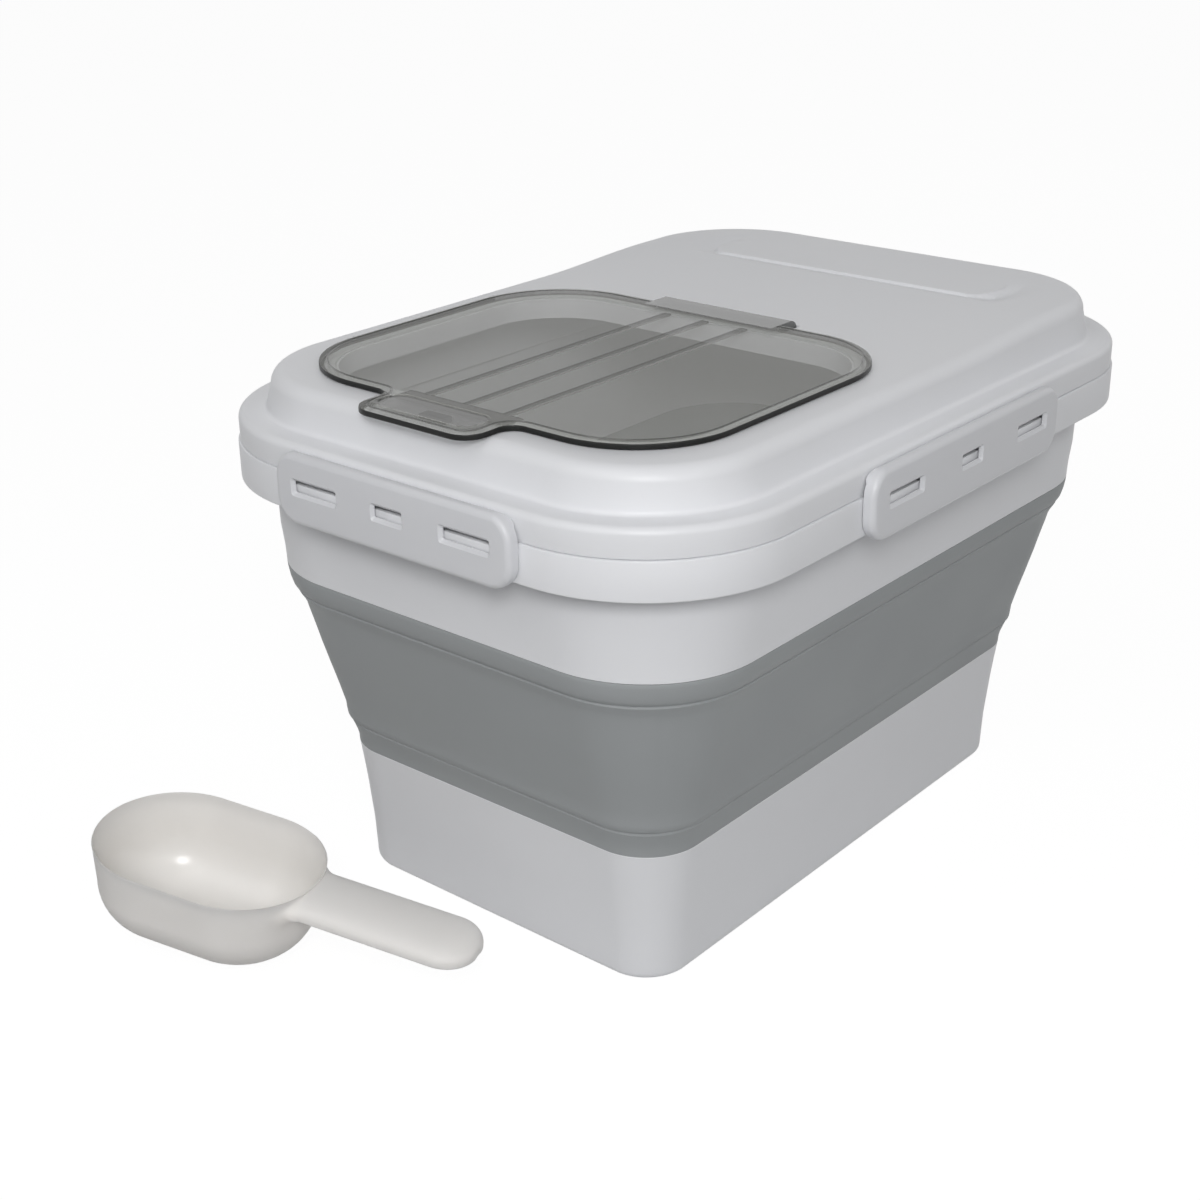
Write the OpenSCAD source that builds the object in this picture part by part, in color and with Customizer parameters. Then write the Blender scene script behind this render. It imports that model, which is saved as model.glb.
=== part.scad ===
// Collapsible bin for rice or dry food, with a flip flap in its lid and a loose measuring scoop.
// +X is right, -Y is the front where the flap's tab is, +Z is up.
// The origin is the middle of the underside. Every wall is one outline swept round a core rectangle,
// so an inset from the rim skirt is also the loss of corner radius there.

/* [Footprint] */
// Width over the rim skirt
overall_w = 300; // [280:5:340]
// Length over the rim skirt, front to back
overall_l = 421; // [400:5:460]
// Corner radius of the rim skirt
corner_r = 76; // [74:1:84]

/* [Walls] */
// Wall of the base tub, the collar and its skirt
wall_t = 2.2; // [1.8:0.1:2.8]
// Floor of the base tub
floor_t = 2.6; // [2:0.1:4]
// Wall of the lid
lid_t = 2.4; // [2:0.1:2.6]
// Wall of the folding band
band_t = 2; // [1.6:0.1:2.4]
// Wall of the tongues that back the band's two bonded strips
tongue_t = 1.6; // [1.2:0.1:2]

/* [Base tub] */
// Height of the bare wall of the base tub
base_h = 70; // [60:1:90]
// Inset of the tub's top edge from the rim skirt
base_inset = 46.5; // [45.5:0.5:48]
// How much further in the tub's foot lies
base_draft = 5.7; // [3:0.1:8]
// Rounding of the tub's foot
foot_r = 4; // [3:0.5:8]

/* [Folding band] */
// Height of the lower bonded strip
low_strip_h = 14; // [12:1:18]
// Height of the panel that turns inside out
panel_h = 74; // [66:1:86]
// Height of the upper bonded strip
top_strip_h = 12; // [10:1:16]
// Inset of the lower crease from the rim skirt
low_crease_inset = 42.6; // [41.5:0.1:43.5]
// Inset of the upper crease from the rim skirt
top_crease_inset = 20.4; // [19.6:0.1:21.4]
// Depth of the creases
crease_d = 0.7; // [0.4:0.1:1]

/* [Collar] */
// Height of the collar from the band to the foot of the skirt
collar_h = 44.5; // [38:0.5:56]
// Inset of the collar's foot from the rim skirt
collar_inset = 17.8; // [17:0.1:18.6]
// Inset of the collar's head from the rim skirt
neck_inset = 15.6; // [15:0.1:16.4]
// Height of the rim skirt
skirt_h = 18; // [15:0.5:22]
// Height of the sealing lip above the rim
lip_h = 6; // [4:0.5:7]
// Height of each catch rib
rib_h = 2.8; // [2:0.1:3.6]

/* [Lid] */
// Height of the lid's flange above the parting line
flange_h = 13.5; // [12:0.5:16]
// Rounding of the flange's outer edge
flange_round = 3.5; // [2:0.5:5]
// Inset of the lid's skirt from the rim skirt
lid_inset = 0.9; // [0.5:0.1:1.5]
// Height of the plateau above the flange
plateau_h = 18.5; // [16:0.5:24]
// Inset of the plateau's wall at its foot
plateau_inset = 14.5; // [13:0.5:15.5]
// How much further in the plateau's wall is at its head
plateau_draft = 2.5; // [1.5:0.5:4]
// Rounding of the plateau's edge
plateau_round = 7; // [4:0.5:9]
// Rise of the rear of the plateau
rear_rise = 3; // [2:0.5:5]
// Depth of the plug rib below the parting line
plug_h = 6; // [4:0.5:10]

/* [Rear grip] */
// Half length of the raised grip bar
grip_half = 88; // [70:1:95]
// Depth of the grip bar, front to back
grip_d = 34; // [26:1:38]
// Distance of the grip bar's front edge from the hinge axis
grip_from_hinge = 101; // [96:1:106]
// Width of the recess round the grip bar
grip_gap = 10; // [6:0.5:12]

/* [Flap] */
// Half width of the flap
flap_half = 113; // [100:0.5:115]
// Distance from the flap's front edge to the hinge axis
flap_reach = 200; // [190:0.5:202]
// Corner radius of the flap
flap_r = 50; // [40:1:60]
// Thickness of the flap's plate
flap_t = 2.2; // [1.8:0.1:2.6]
// Height of the flap's top above the plateau
flap_h = 3.7; // [3.4:0.1:4.5]
// Width of the bearing edge round the flap opening
flap_ledge = 9; // [8.5:0.5:12]
// Depth of the wall round the flap opening
chute_h = 7.5; // [5:0.5:12]
// Half width of the finger tab
tab_half = 35.5; // [28:0.5:40]
// How far the finger tab reaches past the flap
tab_reach = 26; // [22:0.5:28]
// Corner radius of the finger tab
tab_r = 11; // [8:0.5:11]
// Spacing of the flap's stiffening ribs
rib_pitch = 23.5; // [16:0.5:26]

/* [Flap hinge] */
// Distance of the hinge axis behind the middle of the bin
hinge_y = 24; // [16:1:28]
// Depth of the hinge axis below the plateau
hinge_drop = 1.5; // [1.4:0.1:1.8]
// Half length of the hinge barrel
barrel_half = 39; // [30:0.5:44]
// Radius of the hinge rod
rod_r = 1.25; // [1:0.05:1.3]
// Grip of the lid on each end of the hinge rod
rod_grip = 5; // [4:0.5:7]

/* [Latches] */
// Width of the front and back latches
latch_w = 140; // [134:1:156]
// Width of the side latches
side_latch_w = 165; // [158:1:176]
// Spacing of the slots on the front and back latches
slot_pitch = 45; // [40:0.5:46]
// Spacing of the slots on the side latches
side_slot_pitch = 56; // [48:0.5:57]
// Width of the outer slots
slot_w = 26; // [20:0.5:28]
// Width of the middle slot
mid_slot_w = 17; // [12:0.5:20]
// Height of the slots
slot_h = 6; // [5:0.5:7]
// Depth of a latch below the foot of the lid's skirt
latch_drop = 21; // [19:0.5:26]
// Corner radius of a latch
latch_corner = 12; // [8:0.5:13]
// Distance of a latch's hinge axis from the rim skirt
latch_out = 2.9; // [2.8:0.1:3.1]
// Radius of a latch's rounded head
head_r = 3.4; // [3.3:0.05:3.4]
// Front skin of a latch
skin_t = 2; // [1.6:0.1:2.2]
// Radius of a latch's pin
pin_r = 0.9; // [0.8:0.05:0.9]
// Width of the lid ears that carry a latch's pin
ear_w = 4; // [4:0.5:7]

/* [Scoop] */
// Length of the scoop's bowl at the rim
bowl_l = 115; // [100:1:125]
// Width of the scoop's bowl at the rim
bowl_w = 81; // [72:0.5:86]
// Depth of the scoop's bowl
bowl_h = 46; // [40:1:50]
// Rounding of the bowl's foot
bowl_round = 26; // [18:1:30]
// Draft of the bowl's wall
bowl_draft = 2.5; // [2:0.5:5]
// Wall of the scoop
scoop_t = 1.8; // [1.4:0.1:2.2]
// Length of the handle past the bowl
handle_l = 84; // [70:1:95]
// Width of the handle
handle_w = 36.5; // [30:0.5:40]
// Angle at which the scoop leans towards its handle
scoop_lean = 7.5; // [5:0.5:9]
// Place of the bowl's middle, left of the bin's middle
scoop_left = 101.5; // [90:0.5:115]
// Place of the bowl's middle, in front of the bin's middle
scoop_front = 257.5; // [252:0.5:280]
// Turn of the scoop's handle from straight right
scoop_turn = 18.5; // [0:0.5:19]

/* [Hidden] */
$fn = 64;

gap = 0.3;
run_fit = 0.05;
seat_fit = 0.02;
core_x = overall_w / 2 - corner_r;
core_y = overall_l / 2 - corner_r;
z_low = base_h + low_strip_h;
z_high = z_low + panel_h;
z_collar = z_high + top_strip_h;
z_skirt = z_collar + collar_h;
z_part = z_skirt + skirt_h;
z_lip = z_part + lip_h;
z_lid = z_part + gap;
z_flange = z_part + flange_h;
z_top = z_flange + plateau_h;
z_rear = z_top + rear_rise;
pp_white = [0.93, 0.94, 0.95];
tpe_grey = [0.52, 0.54, 0.54];
smoke = [0.45, 0.45, 0.43, 0.6];
steel = [0.7, 0.7, 0.72];
cream = [0.9, 0.88, 0.84];

// Corner radius at a given inset from the rim skirt
function rad(inset) = corner_r - inset;
// Points of an arc
function arc(cx, cy, r, from, to, n = 6) =
    [for (i = [0:n]) [cx + r * cos(from + (to - from) * i / n), cy + r * sin(from + (to - from) * i / n)]];
// Points with their radius made smaller, in reverse order
function inner(points, t) = [for (i = [len(points) - 1:-1:0]) [points[i][0] - t, points[i][1]]];

// Sweeps a (radius, height) outline round a core rectangle of half sizes cx and cy
module sweep(cx, cy) {
    for (sx = [-1, 1], sy = [-1, 1])
        translate([sx * cx, sy * cy, 0])
            rotate([0, 0, sx > 0 ? (sy > 0 ? 0 : -90) : (sy > 0 ? 90 : 180)])
                rotate_extrude(angle = 90)
                    children();
    for (turn = [0, 180]) {
        rotate([0, 0, turn])
            translate([cx, 0, 0])
                rotate([90, 0, 0])
                    linear_extrude(2 * cy, center = true)
                        children();
        rotate([0, 0, turn])
            translate([0, cy, 0])
                rotate([90, 0, 90])
                    linear_extrude(2 * cx, center = true)
                        children();
    }
}

// A plate that fills the core rectangle between two heights
module core_plate(z0, z1) {
    translate([-core_x, -core_y, z0])
        cube([2 * core_x, 2 * core_y, z1 - z0]);
}

// A rectangle from x0 to x1 and y0 to y1 with round corners
module round_rect(x0, x1, y0, y1, r) {
    translate([x0 + r, y0])
        square([x1 - x0 - 2 * r, y1 - y0]);
    translate([x0, y0 + r])
        square([x1 - x0, y1 - y0 - 2 * r]);
    for (x = [x0 + r, x1 - r], y = [y0 + r, y1 - r])
        translate([x, y])
            circle(r);
}

// A prism between two heights
module slab(z0, z1) {
    translate([0, 0, z0])
        linear_extrude(z1 - z0)
            children();
}

// A cylinder along X, from x0 to x1
module rod(x0, x1, r, y, z) {
    translate([x0, y, z])
        rotate([0, 90, 0])
            cylinder(r = r, h = x1 - x0);
}

// Places what is drawn for the front on side 0 front, 1 right, 2 back or 3 left, with y = 0 on the rim skirt
module on_side(side) {
    rotate([0, 0, 90 * side])
        translate([0, -(side % 2 == 0 ? overall_l : overall_w) / 2, 0])
            children();
}

// Base tub: foot, wall and the tongue that backs the band's lower strip
r_foot = rad(base_inset + base_draft);
r_base = rad(base_inset);
r_low = rad(low_crease_inset);
r_high = rad(top_crease_inset);
r_collar = rad(collar_inset);
r_neck = rad(neck_inset);
low_slope = (r_low - r_base) / low_strip_h;
top_slope = (r_collar - r_high) / top_strip_h;
tongue_short = 2;
low_tongue_r = r_base - band_t - seat_fit;
low_tongue_h = low_strip_h - tongue_short;
step_h = 5;

module base_tub() {
    color(pp_white) {
        core_plate(0, floor_t);
        sweep(core_x, core_y)
            polygon(concat(
                [[0, 0]],
                arc(r_foot - foot_r, foot_r, foot_r, -90, 0),
                [[r_base, base_h], [low_tongue_r, base_h],
                [low_tongue_r + low_slope * low_tongue_h, base_h + low_tongue_h],
                [low_tongue_r + low_slope * low_tongue_h - tongue_t, base_h + low_tongue_h],
                [low_tongue_r - tongue_t, base_h],
                [low_tongue_r - tongue_t, base_h - step_h],
                [r_base - wall_t, base_h - 2 * step_h]],
                arc(r_foot - foot_r, foot_r + floor_t - wall_t, foot_r - wall_t, 0, -90),
                [[0, floor_t]]));
    }
}

// Folding band: two bonded strips with a panel between two creases
panel_bulge = 1.6;
bulge_h = 6;
shoulder_h = 9;
shoulder_in = 5;
band_outer = [
    [r_base, base_h], [r_base + 0.5, base_h + low_strip_h / 2],
    [r_low - crease_d / 2, z_low - crease_d], [r_low - crease_d, z_low], [r_low + crease_d / 2, z_low + crease_d],
    [r_low + panel_bulge, z_low + bulge_h],
    [r_high - shoulder_in, z_high - shoulder_h],
    [r_high - crease_d, z_high - crease_d], [r_high - 1.5 * crease_d, z_high], [r_high, z_high + crease_d],
    [r_collar, z_collar]];
band_inner = [
    [r_collar - band_t, z_collar], [r_high - band_t, z_high],
    [r_high - shoulder_in - band_t, z_high - shoulder_h],
    [r_low + panel_bulge - band_t, z_low + bulge_h], [r_low - band_t, z_low],
    [r_base - band_t, base_h]];

module folding_band() {
    color(tpe_grey)
        sweep(core_x, core_y)
            polygon(concat(band_outer, band_inner));
}

// Collar: tongue behind the band's upper strip, wall, rim, skirt, sealing lip and catch ribs
top_tongue_r = r_collar - band_t - gap;
top_tongue_h = top_strip_h - tongue_short;
rib_z = z_part - slot_h / 2;
rib_reach = latch_out + head_r - skin_t - gap;

module catch_ribs(pitch) {
    for (k = [-1, 0, 1])
        translate([k * pitch - (k == 0 ? mid_slot_w : slot_w) / 2 + 1, -rib_reach, rib_z - rib_h / 2 - 1])
            cube([(k == 0 ? mid_slot_w : slot_w) - 2, rib_reach + wall_t / 2, rib_h]);
}

module collar() {
    color(pp_white) {
        sweep(core_x, core_y)
            polygon([
                [top_tongue_r, z_collar + gap], [r_collar, z_collar + gap], [r_neck, z_part - wall_t],
                [corner_r - wall_t, z_part - wall_t], [corner_r - wall_t, z_skirt], [corner_r, z_skirt],
                [corner_r, z_part], [r_neck, z_part], [r_neck, z_lip], [r_neck - wall_t, z_lip],
                [r_neck - wall_t, z_part], [r_collar - wall_t, z_collar + 2 * step_h],
                [top_tongue_r - tongue_t, z_collar + step_h], [top_tongue_r - tongue_t, z_collar + gap],
                [top_tongue_r - tongue_t - top_slope * top_tongue_h, z_collar + gap - top_tongue_h],
                [top_tongue_r - top_slope * top_tongue_h, z_collar + gap - top_tongue_h]]);
        for (side = [0:3])
            on_side(side)
                catch_ribs(side % 2 == 0 ? slot_pitch : side_slot_pitch);
    }
}

// Lid: skirt, flange, plateau with its rear rise, plug rib, flap opening, hinge pocket and latch ears
r_lid = rad(lid_inset);
r_foot_lid = rad(plateau_inset);
r_head_lid = rad(plateau_inset + plateau_draft);
fillet_r = 2.5;
plug_clear = 0.8;
r_plug = r_neck - wall_t - plug_clear;
plug_t = 2;
rise_from = 6;
rise_run = 84;
hinge_z = z_top - hinge_drop;
z_flap = z_top + flap_h;
barrel_r = z_flap - hinge_z;
pocket_r = barrel_r + gap;
pocket_half = barrel_half + 2 * gap;
block_t = 2;
relief = 1.3;
flap_front = hinge_y - flap_reach;
flap_rear_gap = 8;
flap_rear = hinge_y - flap_rear_gap;
chute_t = 2;
head_below = 1.2;
axis_z = z_flange - head_r - head_below;
latch_z0 = z_lid - latch_drop;
lug_r = pin_r + 1;
catch_half = 10;
catch_d = 6;
catch_y = flap_front - tab_reach / 3;
catch_h = 1;
grip_y = hinge_y + grip_from_hinge;
grip_r = grip_d / 2 - 2;

module lid_shell() {
    core_plate(z_top - lid_t, z_top);
    sweep(core_x, core_y)
        polygon(concat(
            [[r_lid, z_lid]],
            arc(r_lid - flange_round, z_flange - flange_round, flange_round, 0, 90),
            arc(r_foot_lid + fillet_r, z_flange + fillet_r, fillet_r, -90, -180, 3),
            arc(r_head_lid - plateau_round, z_top - plateau_round, plateau_round, 0, 90),
            [[0, z_top], [0, z_top - lid_t]],
            arc(r_head_lid - plateau_round, z_top - plateau_round, plateau_round - lid_t, 90, 0),
            [[r_foot_lid - lid_t, z_flange], [r_plug - plug_t, z_flange], [r_plug - plug_t, z_part - plug_h],
            [r_plug, z_part - plug_h], [r_plug, z_flange - lid_t], [r_lid - lid_t, z_flange - lid_t],
            [r_lid - lid_t, z_lid]]));
}

module rear_platform() {
    edge_in = rad(plateau_inset + plateau_draft) - plateau_round;
    intersection() {
        union() {
            core_plate(z_top - 1, z_rear);
            sweep(core_x, core_y)
                polygon([[0, z_top - 1], [edge_in, z_top - 1], [edge_in, z_top],
                    [edge_in - rear_rise, z_rear], [0, z_rear]]);
        }
        rotate([90, 0, 90])
            linear_extrude(overall_w, center = true)
                polygon([[hinge_y + rise_from, z_top - 1], [hinge_y + rise_from, z_top],
                    [hinge_y + rise_from + rise_run, z_rear], [overall_l, z_rear], [overall_l, z_top - 1]]);
    }
}

module ears(side) {
    for (k = [-1, 1])
        on_side(side)
            difference() {
                union() {
                    rod(k * ear_x(side) - ear_w / 2, k * ear_x(side) + ear_w / 2, lug_r, -latch_out, axis_z);
                    translate([k * ear_x(side) - ear_w / 2, -latch_out, axis_z - lug_r])
                        cube([ear_w, latch_out + lid_inset + lid_t / 2, lug_r]);
                }
                rod(-overall_w, overall_w, pin_r + seat_fit, -latch_out, axis_z);
            }
}

module lid() {
    color(pp_white) {
        difference() {
            union() {
                lid_shell();
                rear_platform();
                slab(z_top - lid_t - chute_h, z_top - lid_t / 2)
                    round_rect(-flap_half + flap_ledge - chute_t, flap_half - flap_ledge + chute_t,
                        flap_front + flap_ledge - chute_t, flap_rear - flap_ledge + chute_t,
                        flap_r - flap_ledge + chute_t);
                translate([-pocket_half - rod_grip, hinge_y - pocket_r - block_t, hinge_z - pocket_r - block_t])
                    cube([2 * (pocket_half + rod_grip), 2 * (pocket_r + block_t),
                        z_top - hinge_z + pocket_r + block_t]);
            }
            slab(z_top - lid_t - 2 * chute_h, z_top + flap_h)
                round_rect(-flap_half + flap_ledge, flap_half - flap_ledge,
                    flap_front + flap_ledge, flap_rear - flap_ledge, flap_r - flap_ledge);
            rod(-pocket_half, pocket_half, pocket_r, hinge_y, hinge_z);
            translate([-pocket_half, hinge_y, hinge_z - relief])
                cube([2 * pocket_half, pocket_r + relief, pocket_r + relief]);
            rod(-pocket_half - rod_grip + 1, pocket_half + rod_grip - 1, rod_r + seat_fit, hinge_y, hinge_z);
            translate([-catch_half - gap, catch_y - catch_d / 2 - gap, z_top - catch_h - gap])
                cube([2 * (catch_half + gap), catch_d + 2 * gap, catch_h + 1]);
            difference() {
                slab(z_top, z_rear + 1)
                    round_rect(-grip_half - grip_gap, grip_half + grip_gap,
                        grip_y - grip_gap, grip_y + grip_d + grip_gap, grip_r + grip_gap);
                slab(z_top - 1, z_rear + 2)
                    round_rect(-grip_half, grip_half, grip_y, grip_y + grip_d, grip_r);
            }
        }
        for (side = [0:3])
            ears(side);
    }
}

// Rim gasket: a ring between the plug rib and the lid's skirt, over the collar's lip
gasket_over = 1;

module rim_gasket() {
    color(tpe_grey)
        sweep(core_x, core_y)
            polygon([[r_plug + seat_fit, z_lip + gap], [r_neck + gasket_over, z_lip + gap],
                [r_neck + gasket_over, z_flange - lid_t], [r_plug + seat_fit, z_flange - lid_t]]);
}

// Flap gasket: a flat ring on the bearing edge round the opening
flap_gasket_w = 4;

module flap_gasket() {
    in = flap_ledge - 1;
    out = in - flap_gasket_w;
    color(tpe_grey)
        slab(z_top, z_flap - flap_t - gap)
            difference() {
                round_rect(-flap_half + out, flap_half - out, flap_front + out, flap_rear - out, flap_r - out);
                round_rect(-flap_half + in, flap_half - in, flap_front + in, flap_rear - in, flap_r - in);
            }
}

// Flap: plate with a down-turned edge, finger tab, ribs, catch nub and hinge barrel
edge_t = 2.2;
flap_rib_w = 1.6;
flap_rib_h = 0.7;
tab_ring_h = 0.6;
tab_ring_w = 1.6;
tab_ring_in = 5;

module flap_outline(in) {
    round_rect(-flap_half + in, flap_half - in, flap_front + in, flap_rear - in, flap_r - in);
    round_rect(-tab_half + in, tab_half - in, flap_front - tab_reach + in, flap_front + 2 * tab_r, tab_r - in);
}

module tab_ring_outline(in) {
    round_rect(-tab_half + in, tab_half - in, flap_front - tab_reach + in, flap_front - in / 4, tab_r - in / 2);
}

module flap() {
    color(smoke)
        difference() {
            union() {
                slab(z_flap - flap_t, z_flap)
                    flap_outline(0);
                slab(z_top + gap, z_flap)
                    difference() {
                        flap_outline(0);
                        flap_outline(edge_t);
                    }
                slab(z_flap, z_flap + tab_ring_h)
                    difference() {
                        tab_ring_outline(tab_ring_in);
                        tab_ring_outline(tab_ring_in + tab_ring_w);
                    }
                for (k = [-1, 0, 1])
                    translate([k * rib_pitch - flap_rib_w / 2, flap_front + flap_ledge,
                        z_flap - flap_t - flap_rib_h])
                        cube([flap_rib_w, flap_rear - flap_front - 2 * flap_ledge, flap_rib_h + flap_t / 2]);
                translate([-catch_half, catch_y - catch_d / 2, z_top - catch_h])
                    cube([2 * catch_half, catch_d, z_flap - z_top + catch_h - flap_t / 2]);
                rod(-barrel_half, barrel_half, barrel_r, hinge_y, hinge_z);
                translate([-barrel_half, flap_rear - flap_r / 4, z_flap - flap_t])
                    cube([2 * barrel_half, hinge_y - flap_rear + flap_r / 4, flap_t]);
            }
            rod(-overall_w, overall_w, rod_r + run_fit, hinge_y, hinge_z);
        }
}

module flap_hinge_rod() {
    color(steel)
        rod(-pocket_half - rod_grip + 1 + gap, pocket_half + rod_grip - 1 - gap, rod_r, hinge_y, hinge_z);
}

// Latches: a plate that is open at its back and foot, with three slots and a pinned round head
function width_of(side) = side % 2 == 0 ? latch_w : side_latch_w;
function pitch_of(side) = side % 2 == 0 ? slot_pitch : side_slot_pitch;
function ear_x(side) = width_of(side) / 2 - latch_corner - 2 * ear_w;
latch_front_y = latch_out + head_r;
latch_side_t = 2.4;
latch_back = 0.4;
slot_z = rib_z;
slot_bevel = 0.8;
ear_pocket_r = lug_r + gap;
ear_clear = 0.4;
pin_half_short = latch_corner + 3;

// A shape drawn in X and Z, made solid from y0 to y1
module upright(y0, y1) {
    translate([0, y1, 0])
        rotate([90, 0, 0])
            linear_extrude(y1 - y0)
                children();
}

module latch(side) {
    half = width_of(side) / 2;
    head_z = axis_z - head_r;
    color(pp_white)
        on_side(side)
            difference() {
                intersection() {
                    upright(-latch_front_y, -latch_back + head_r)
                        round_rect(-half, half, latch_z0, axis_z + head_r, latch_corner);
                    union() {
                        rod(-half, half, head_r, -latch_out, axis_z);
                        translate([-half, -latch_front_y, latch_z0])
                            cube([2 * half, latch_front_y - latch_back, axis_z - latch_z0]);
                    }
                }
                upright(-latch_front_y + skin_t, head_r)
                    round_rect(-half + latch_side_t, half - latch_side_t, latch_z0 + latch_side_t, head_z,
                        latch_corner - latch_side_t);
                translate([-half + latch_corner, -latch_front_y + skin_t, latch_z0 - 1])
                    cube([2 * (half - latch_corner), latch_front_y, latch_corner]);
                for (k = [-1, 0, 1]) {
                    w = k == 0 ? mid_slot_w : slot_w;
                    translate([k * pitch_of(side) - w / 2, -latch_front_y - 1, slot_z - slot_h / 2])
                        cube([w, latch_front_y, slot_h]);
                    translate([k * pitch_of(side) - w / 2 - slot_bevel, -latch_front_y - 1,
                        slot_z - slot_h / 2 - slot_bevel])
                        cube([w + 2 * slot_bevel, 1 + slot_bevel, slot_h + 2 * slot_bevel]);
                }
                rod(-half + pin_half_short - gap, half - pin_half_short + gap, pin_r + run_fit, -latch_out, axis_z);
                for (k = [-1, 1])
                    ear_pocket(k * ear_x(side));
            }
}

// Room for an ear while the latch turns round it
ear_turn = 125;

module ear_pocket(x) {
    x0 = x - ear_w / 2 - ear_clear;
    x1 = x + ear_w / 2 + ear_clear;
    rod(x0, x1, ear_pocket_r, -latch_out, axis_z);
    translate([x0, -latch_out, axis_z])
        rotate([90, 0, 90])
            linear_extrude(x1 - x0)
                polygon(concat([[0, 0], [0, -ear_pocket_r], [2 * head_r, -ear_pocket_r]],
                    arc(0, 0, 2 * head_r, 0, ear_turn)));
}

module latch_pin(side) {
    half = width_of(side) / 2;
    color(steel)
        on_side(side)
            rod(-half + pin_half_short, half - pin_half_short, pin_r, -latch_out, axis_z);
}

module latch_front() { latch(0); }
module latch_right() { latch(1); }
module latch_back() { latch(2); }
module latch_left() { latch(3); }
module latch_pin_front() { latch_pin(0); }
module latch_pin_right() { latch_pin(1); }
module latch_pin_back() { latch_pin(2); }
module latch_pin_left() { latch_pin(3); }

// Scoop: a round-ended bowl with an arched handle, leaning on the foot of its bowl
bowl_half = (bowl_l - bowl_w) / 2;
bowl_r = bowl_w / 2;
bowl_foot_r = bowl_r - bowl_draft;
handle_drop = 0.6;
handle_arch = 9;
handle_r = (pow(handle_w / 2, 2) + pow(handle_arch, 2)) / (2 * handle_arch);
handle_z = bowl_h - handle_drop - handle_r;
tip_x = bowl_l / 2 + handle_l - handle_w / 2;
lift = (bowl_half + bowl_foot_r - bowl_round) * sin(scoop_lean) + bowl_round * (1 - cos(scoop_lean));

module bowl_shape(r_top, r_foot, round, z0) {
    module outline() {
        polygon(concat([[0, z0]], arc(r_foot - round, z0 + round, round, -90, 0), [[r_top, bowl_h], [0, bowl_h]]));
    }
    for (s = [-1, 1])
        translate([s * bowl_half, 0, 0])
            rotate([0, 0, -90 * s])
                rotate_extrude(angle = 180)
                    outline();
    for (turn = [0, 180])
        rotate([0, 0, turn])
            rotate([90, 0, 90])
                linear_extrude(2 * bowl_half, center = true)
                    outline();
}

// The handle's solid bar with a round tip
module handle_core(r) {
    rod(bowl_half, tip_x, r, 0, handle_z);
    translate([tip_x, 0, handle_z])
        sphere(r);
}

module handle_bar(r) {
    intersection() {
        handle_core(r);
        translate([0, -bowl_w, handle_z + handle_r - handle_arch])
            cube([2 * bowl_l, 2 * bowl_w, bowl_h]);
    }
}

module scoop() {
    color(cream)
        translate([-scoop_left, -scoop_front, lift])
            rotate([0, 0, scoop_turn])
                rotate([0, scoop_lean, 0])
                    difference() {
                        union() {
                            bowl_shape(bowl_r, bowl_foot_r, bowl_round, 0);
                            difference() {
                                handle_bar(handle_r);
                                handle_core(handle_r - scoop_t);
                            }
                        }
                        bowl_inside();
                    }
}

module bowl_inside() {
    bowl_shape(bowl_r - scoop_t, bowl_foot_r - scoop_t, bowl_round - scoop_t, scoop_t);
    translate([0, 0, bowl_h])
        linear_extrude(bowl_h)
            square([2 * bowl_l, 2 * bowl_w], center = true);
}

base_tub();
folding_band();
collar();
rim_gasket();
lid();
flap_gasket();
flap();
flap_hinge_rod();
latch_front();
latch_right();
latch_back();
latch_left();
latch_pin_front();
latch_pin_right();
latch_pin_back();
latch_pin_left();
scoop();
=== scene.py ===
import math

import bmesh
import bpy
from mathutils import Matrix, Vector


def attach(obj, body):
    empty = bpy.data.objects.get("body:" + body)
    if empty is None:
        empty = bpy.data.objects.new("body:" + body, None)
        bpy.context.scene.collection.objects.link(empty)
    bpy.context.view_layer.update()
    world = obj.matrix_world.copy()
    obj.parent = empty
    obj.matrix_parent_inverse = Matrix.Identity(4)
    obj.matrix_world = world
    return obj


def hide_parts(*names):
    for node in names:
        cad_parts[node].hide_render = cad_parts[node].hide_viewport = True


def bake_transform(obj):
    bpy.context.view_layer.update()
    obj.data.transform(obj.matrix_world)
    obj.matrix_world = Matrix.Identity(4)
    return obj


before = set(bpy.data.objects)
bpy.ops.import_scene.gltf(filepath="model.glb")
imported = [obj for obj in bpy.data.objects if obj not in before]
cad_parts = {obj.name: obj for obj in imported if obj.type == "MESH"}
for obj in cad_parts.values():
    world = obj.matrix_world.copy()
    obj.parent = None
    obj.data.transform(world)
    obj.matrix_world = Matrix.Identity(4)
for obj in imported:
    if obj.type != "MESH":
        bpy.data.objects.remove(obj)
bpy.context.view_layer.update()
print("frame loaded:", len(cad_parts), "solids")

mm = 0.001
through = 20  # millimetres that a cutting tool reaches past what it cuts
scene = bpy.context.scene
scene.view_settings.view_transform = "Standard"

# The body of the bin, in millimetres. Every wall is one outline swept round a core rectangle,
# so an inset from the rim skirt is also the loss of corner radius there.
sizes = {
    "width": 300, "length": 421, "cornerRadius": 76, "wall": 2.2, "floor": 2.6, "cornerSteps": 24,
    "baseTop": 70, "lowCrease": 84, "highCrease": 158, "collarFoot": 170, "skirtFoot": 214.5,
    "partingLine": 232.5, "lipTop": 238.5, "lidFoot": 232.8, "flangeTop": 246, "plateauTop": 264.5,
    "hinge": (24, 263),  # y and z of the flap's hinge
}
coreX = sizes["width"] / 2 - sizes["cornerRadius"]
coreY = sizes["length"] / 2 - sizes["cornerRadius"]


def linear(hexColour):
    channels = [int(hexColour[i:i + 2], 16) / 255 for i in (1, 3, 5)]
    return [c / 12.92 if c <= 0.04045 else ((c + 0.055) / 1.055) ** 2.4 for c in channels] + [1]


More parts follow.
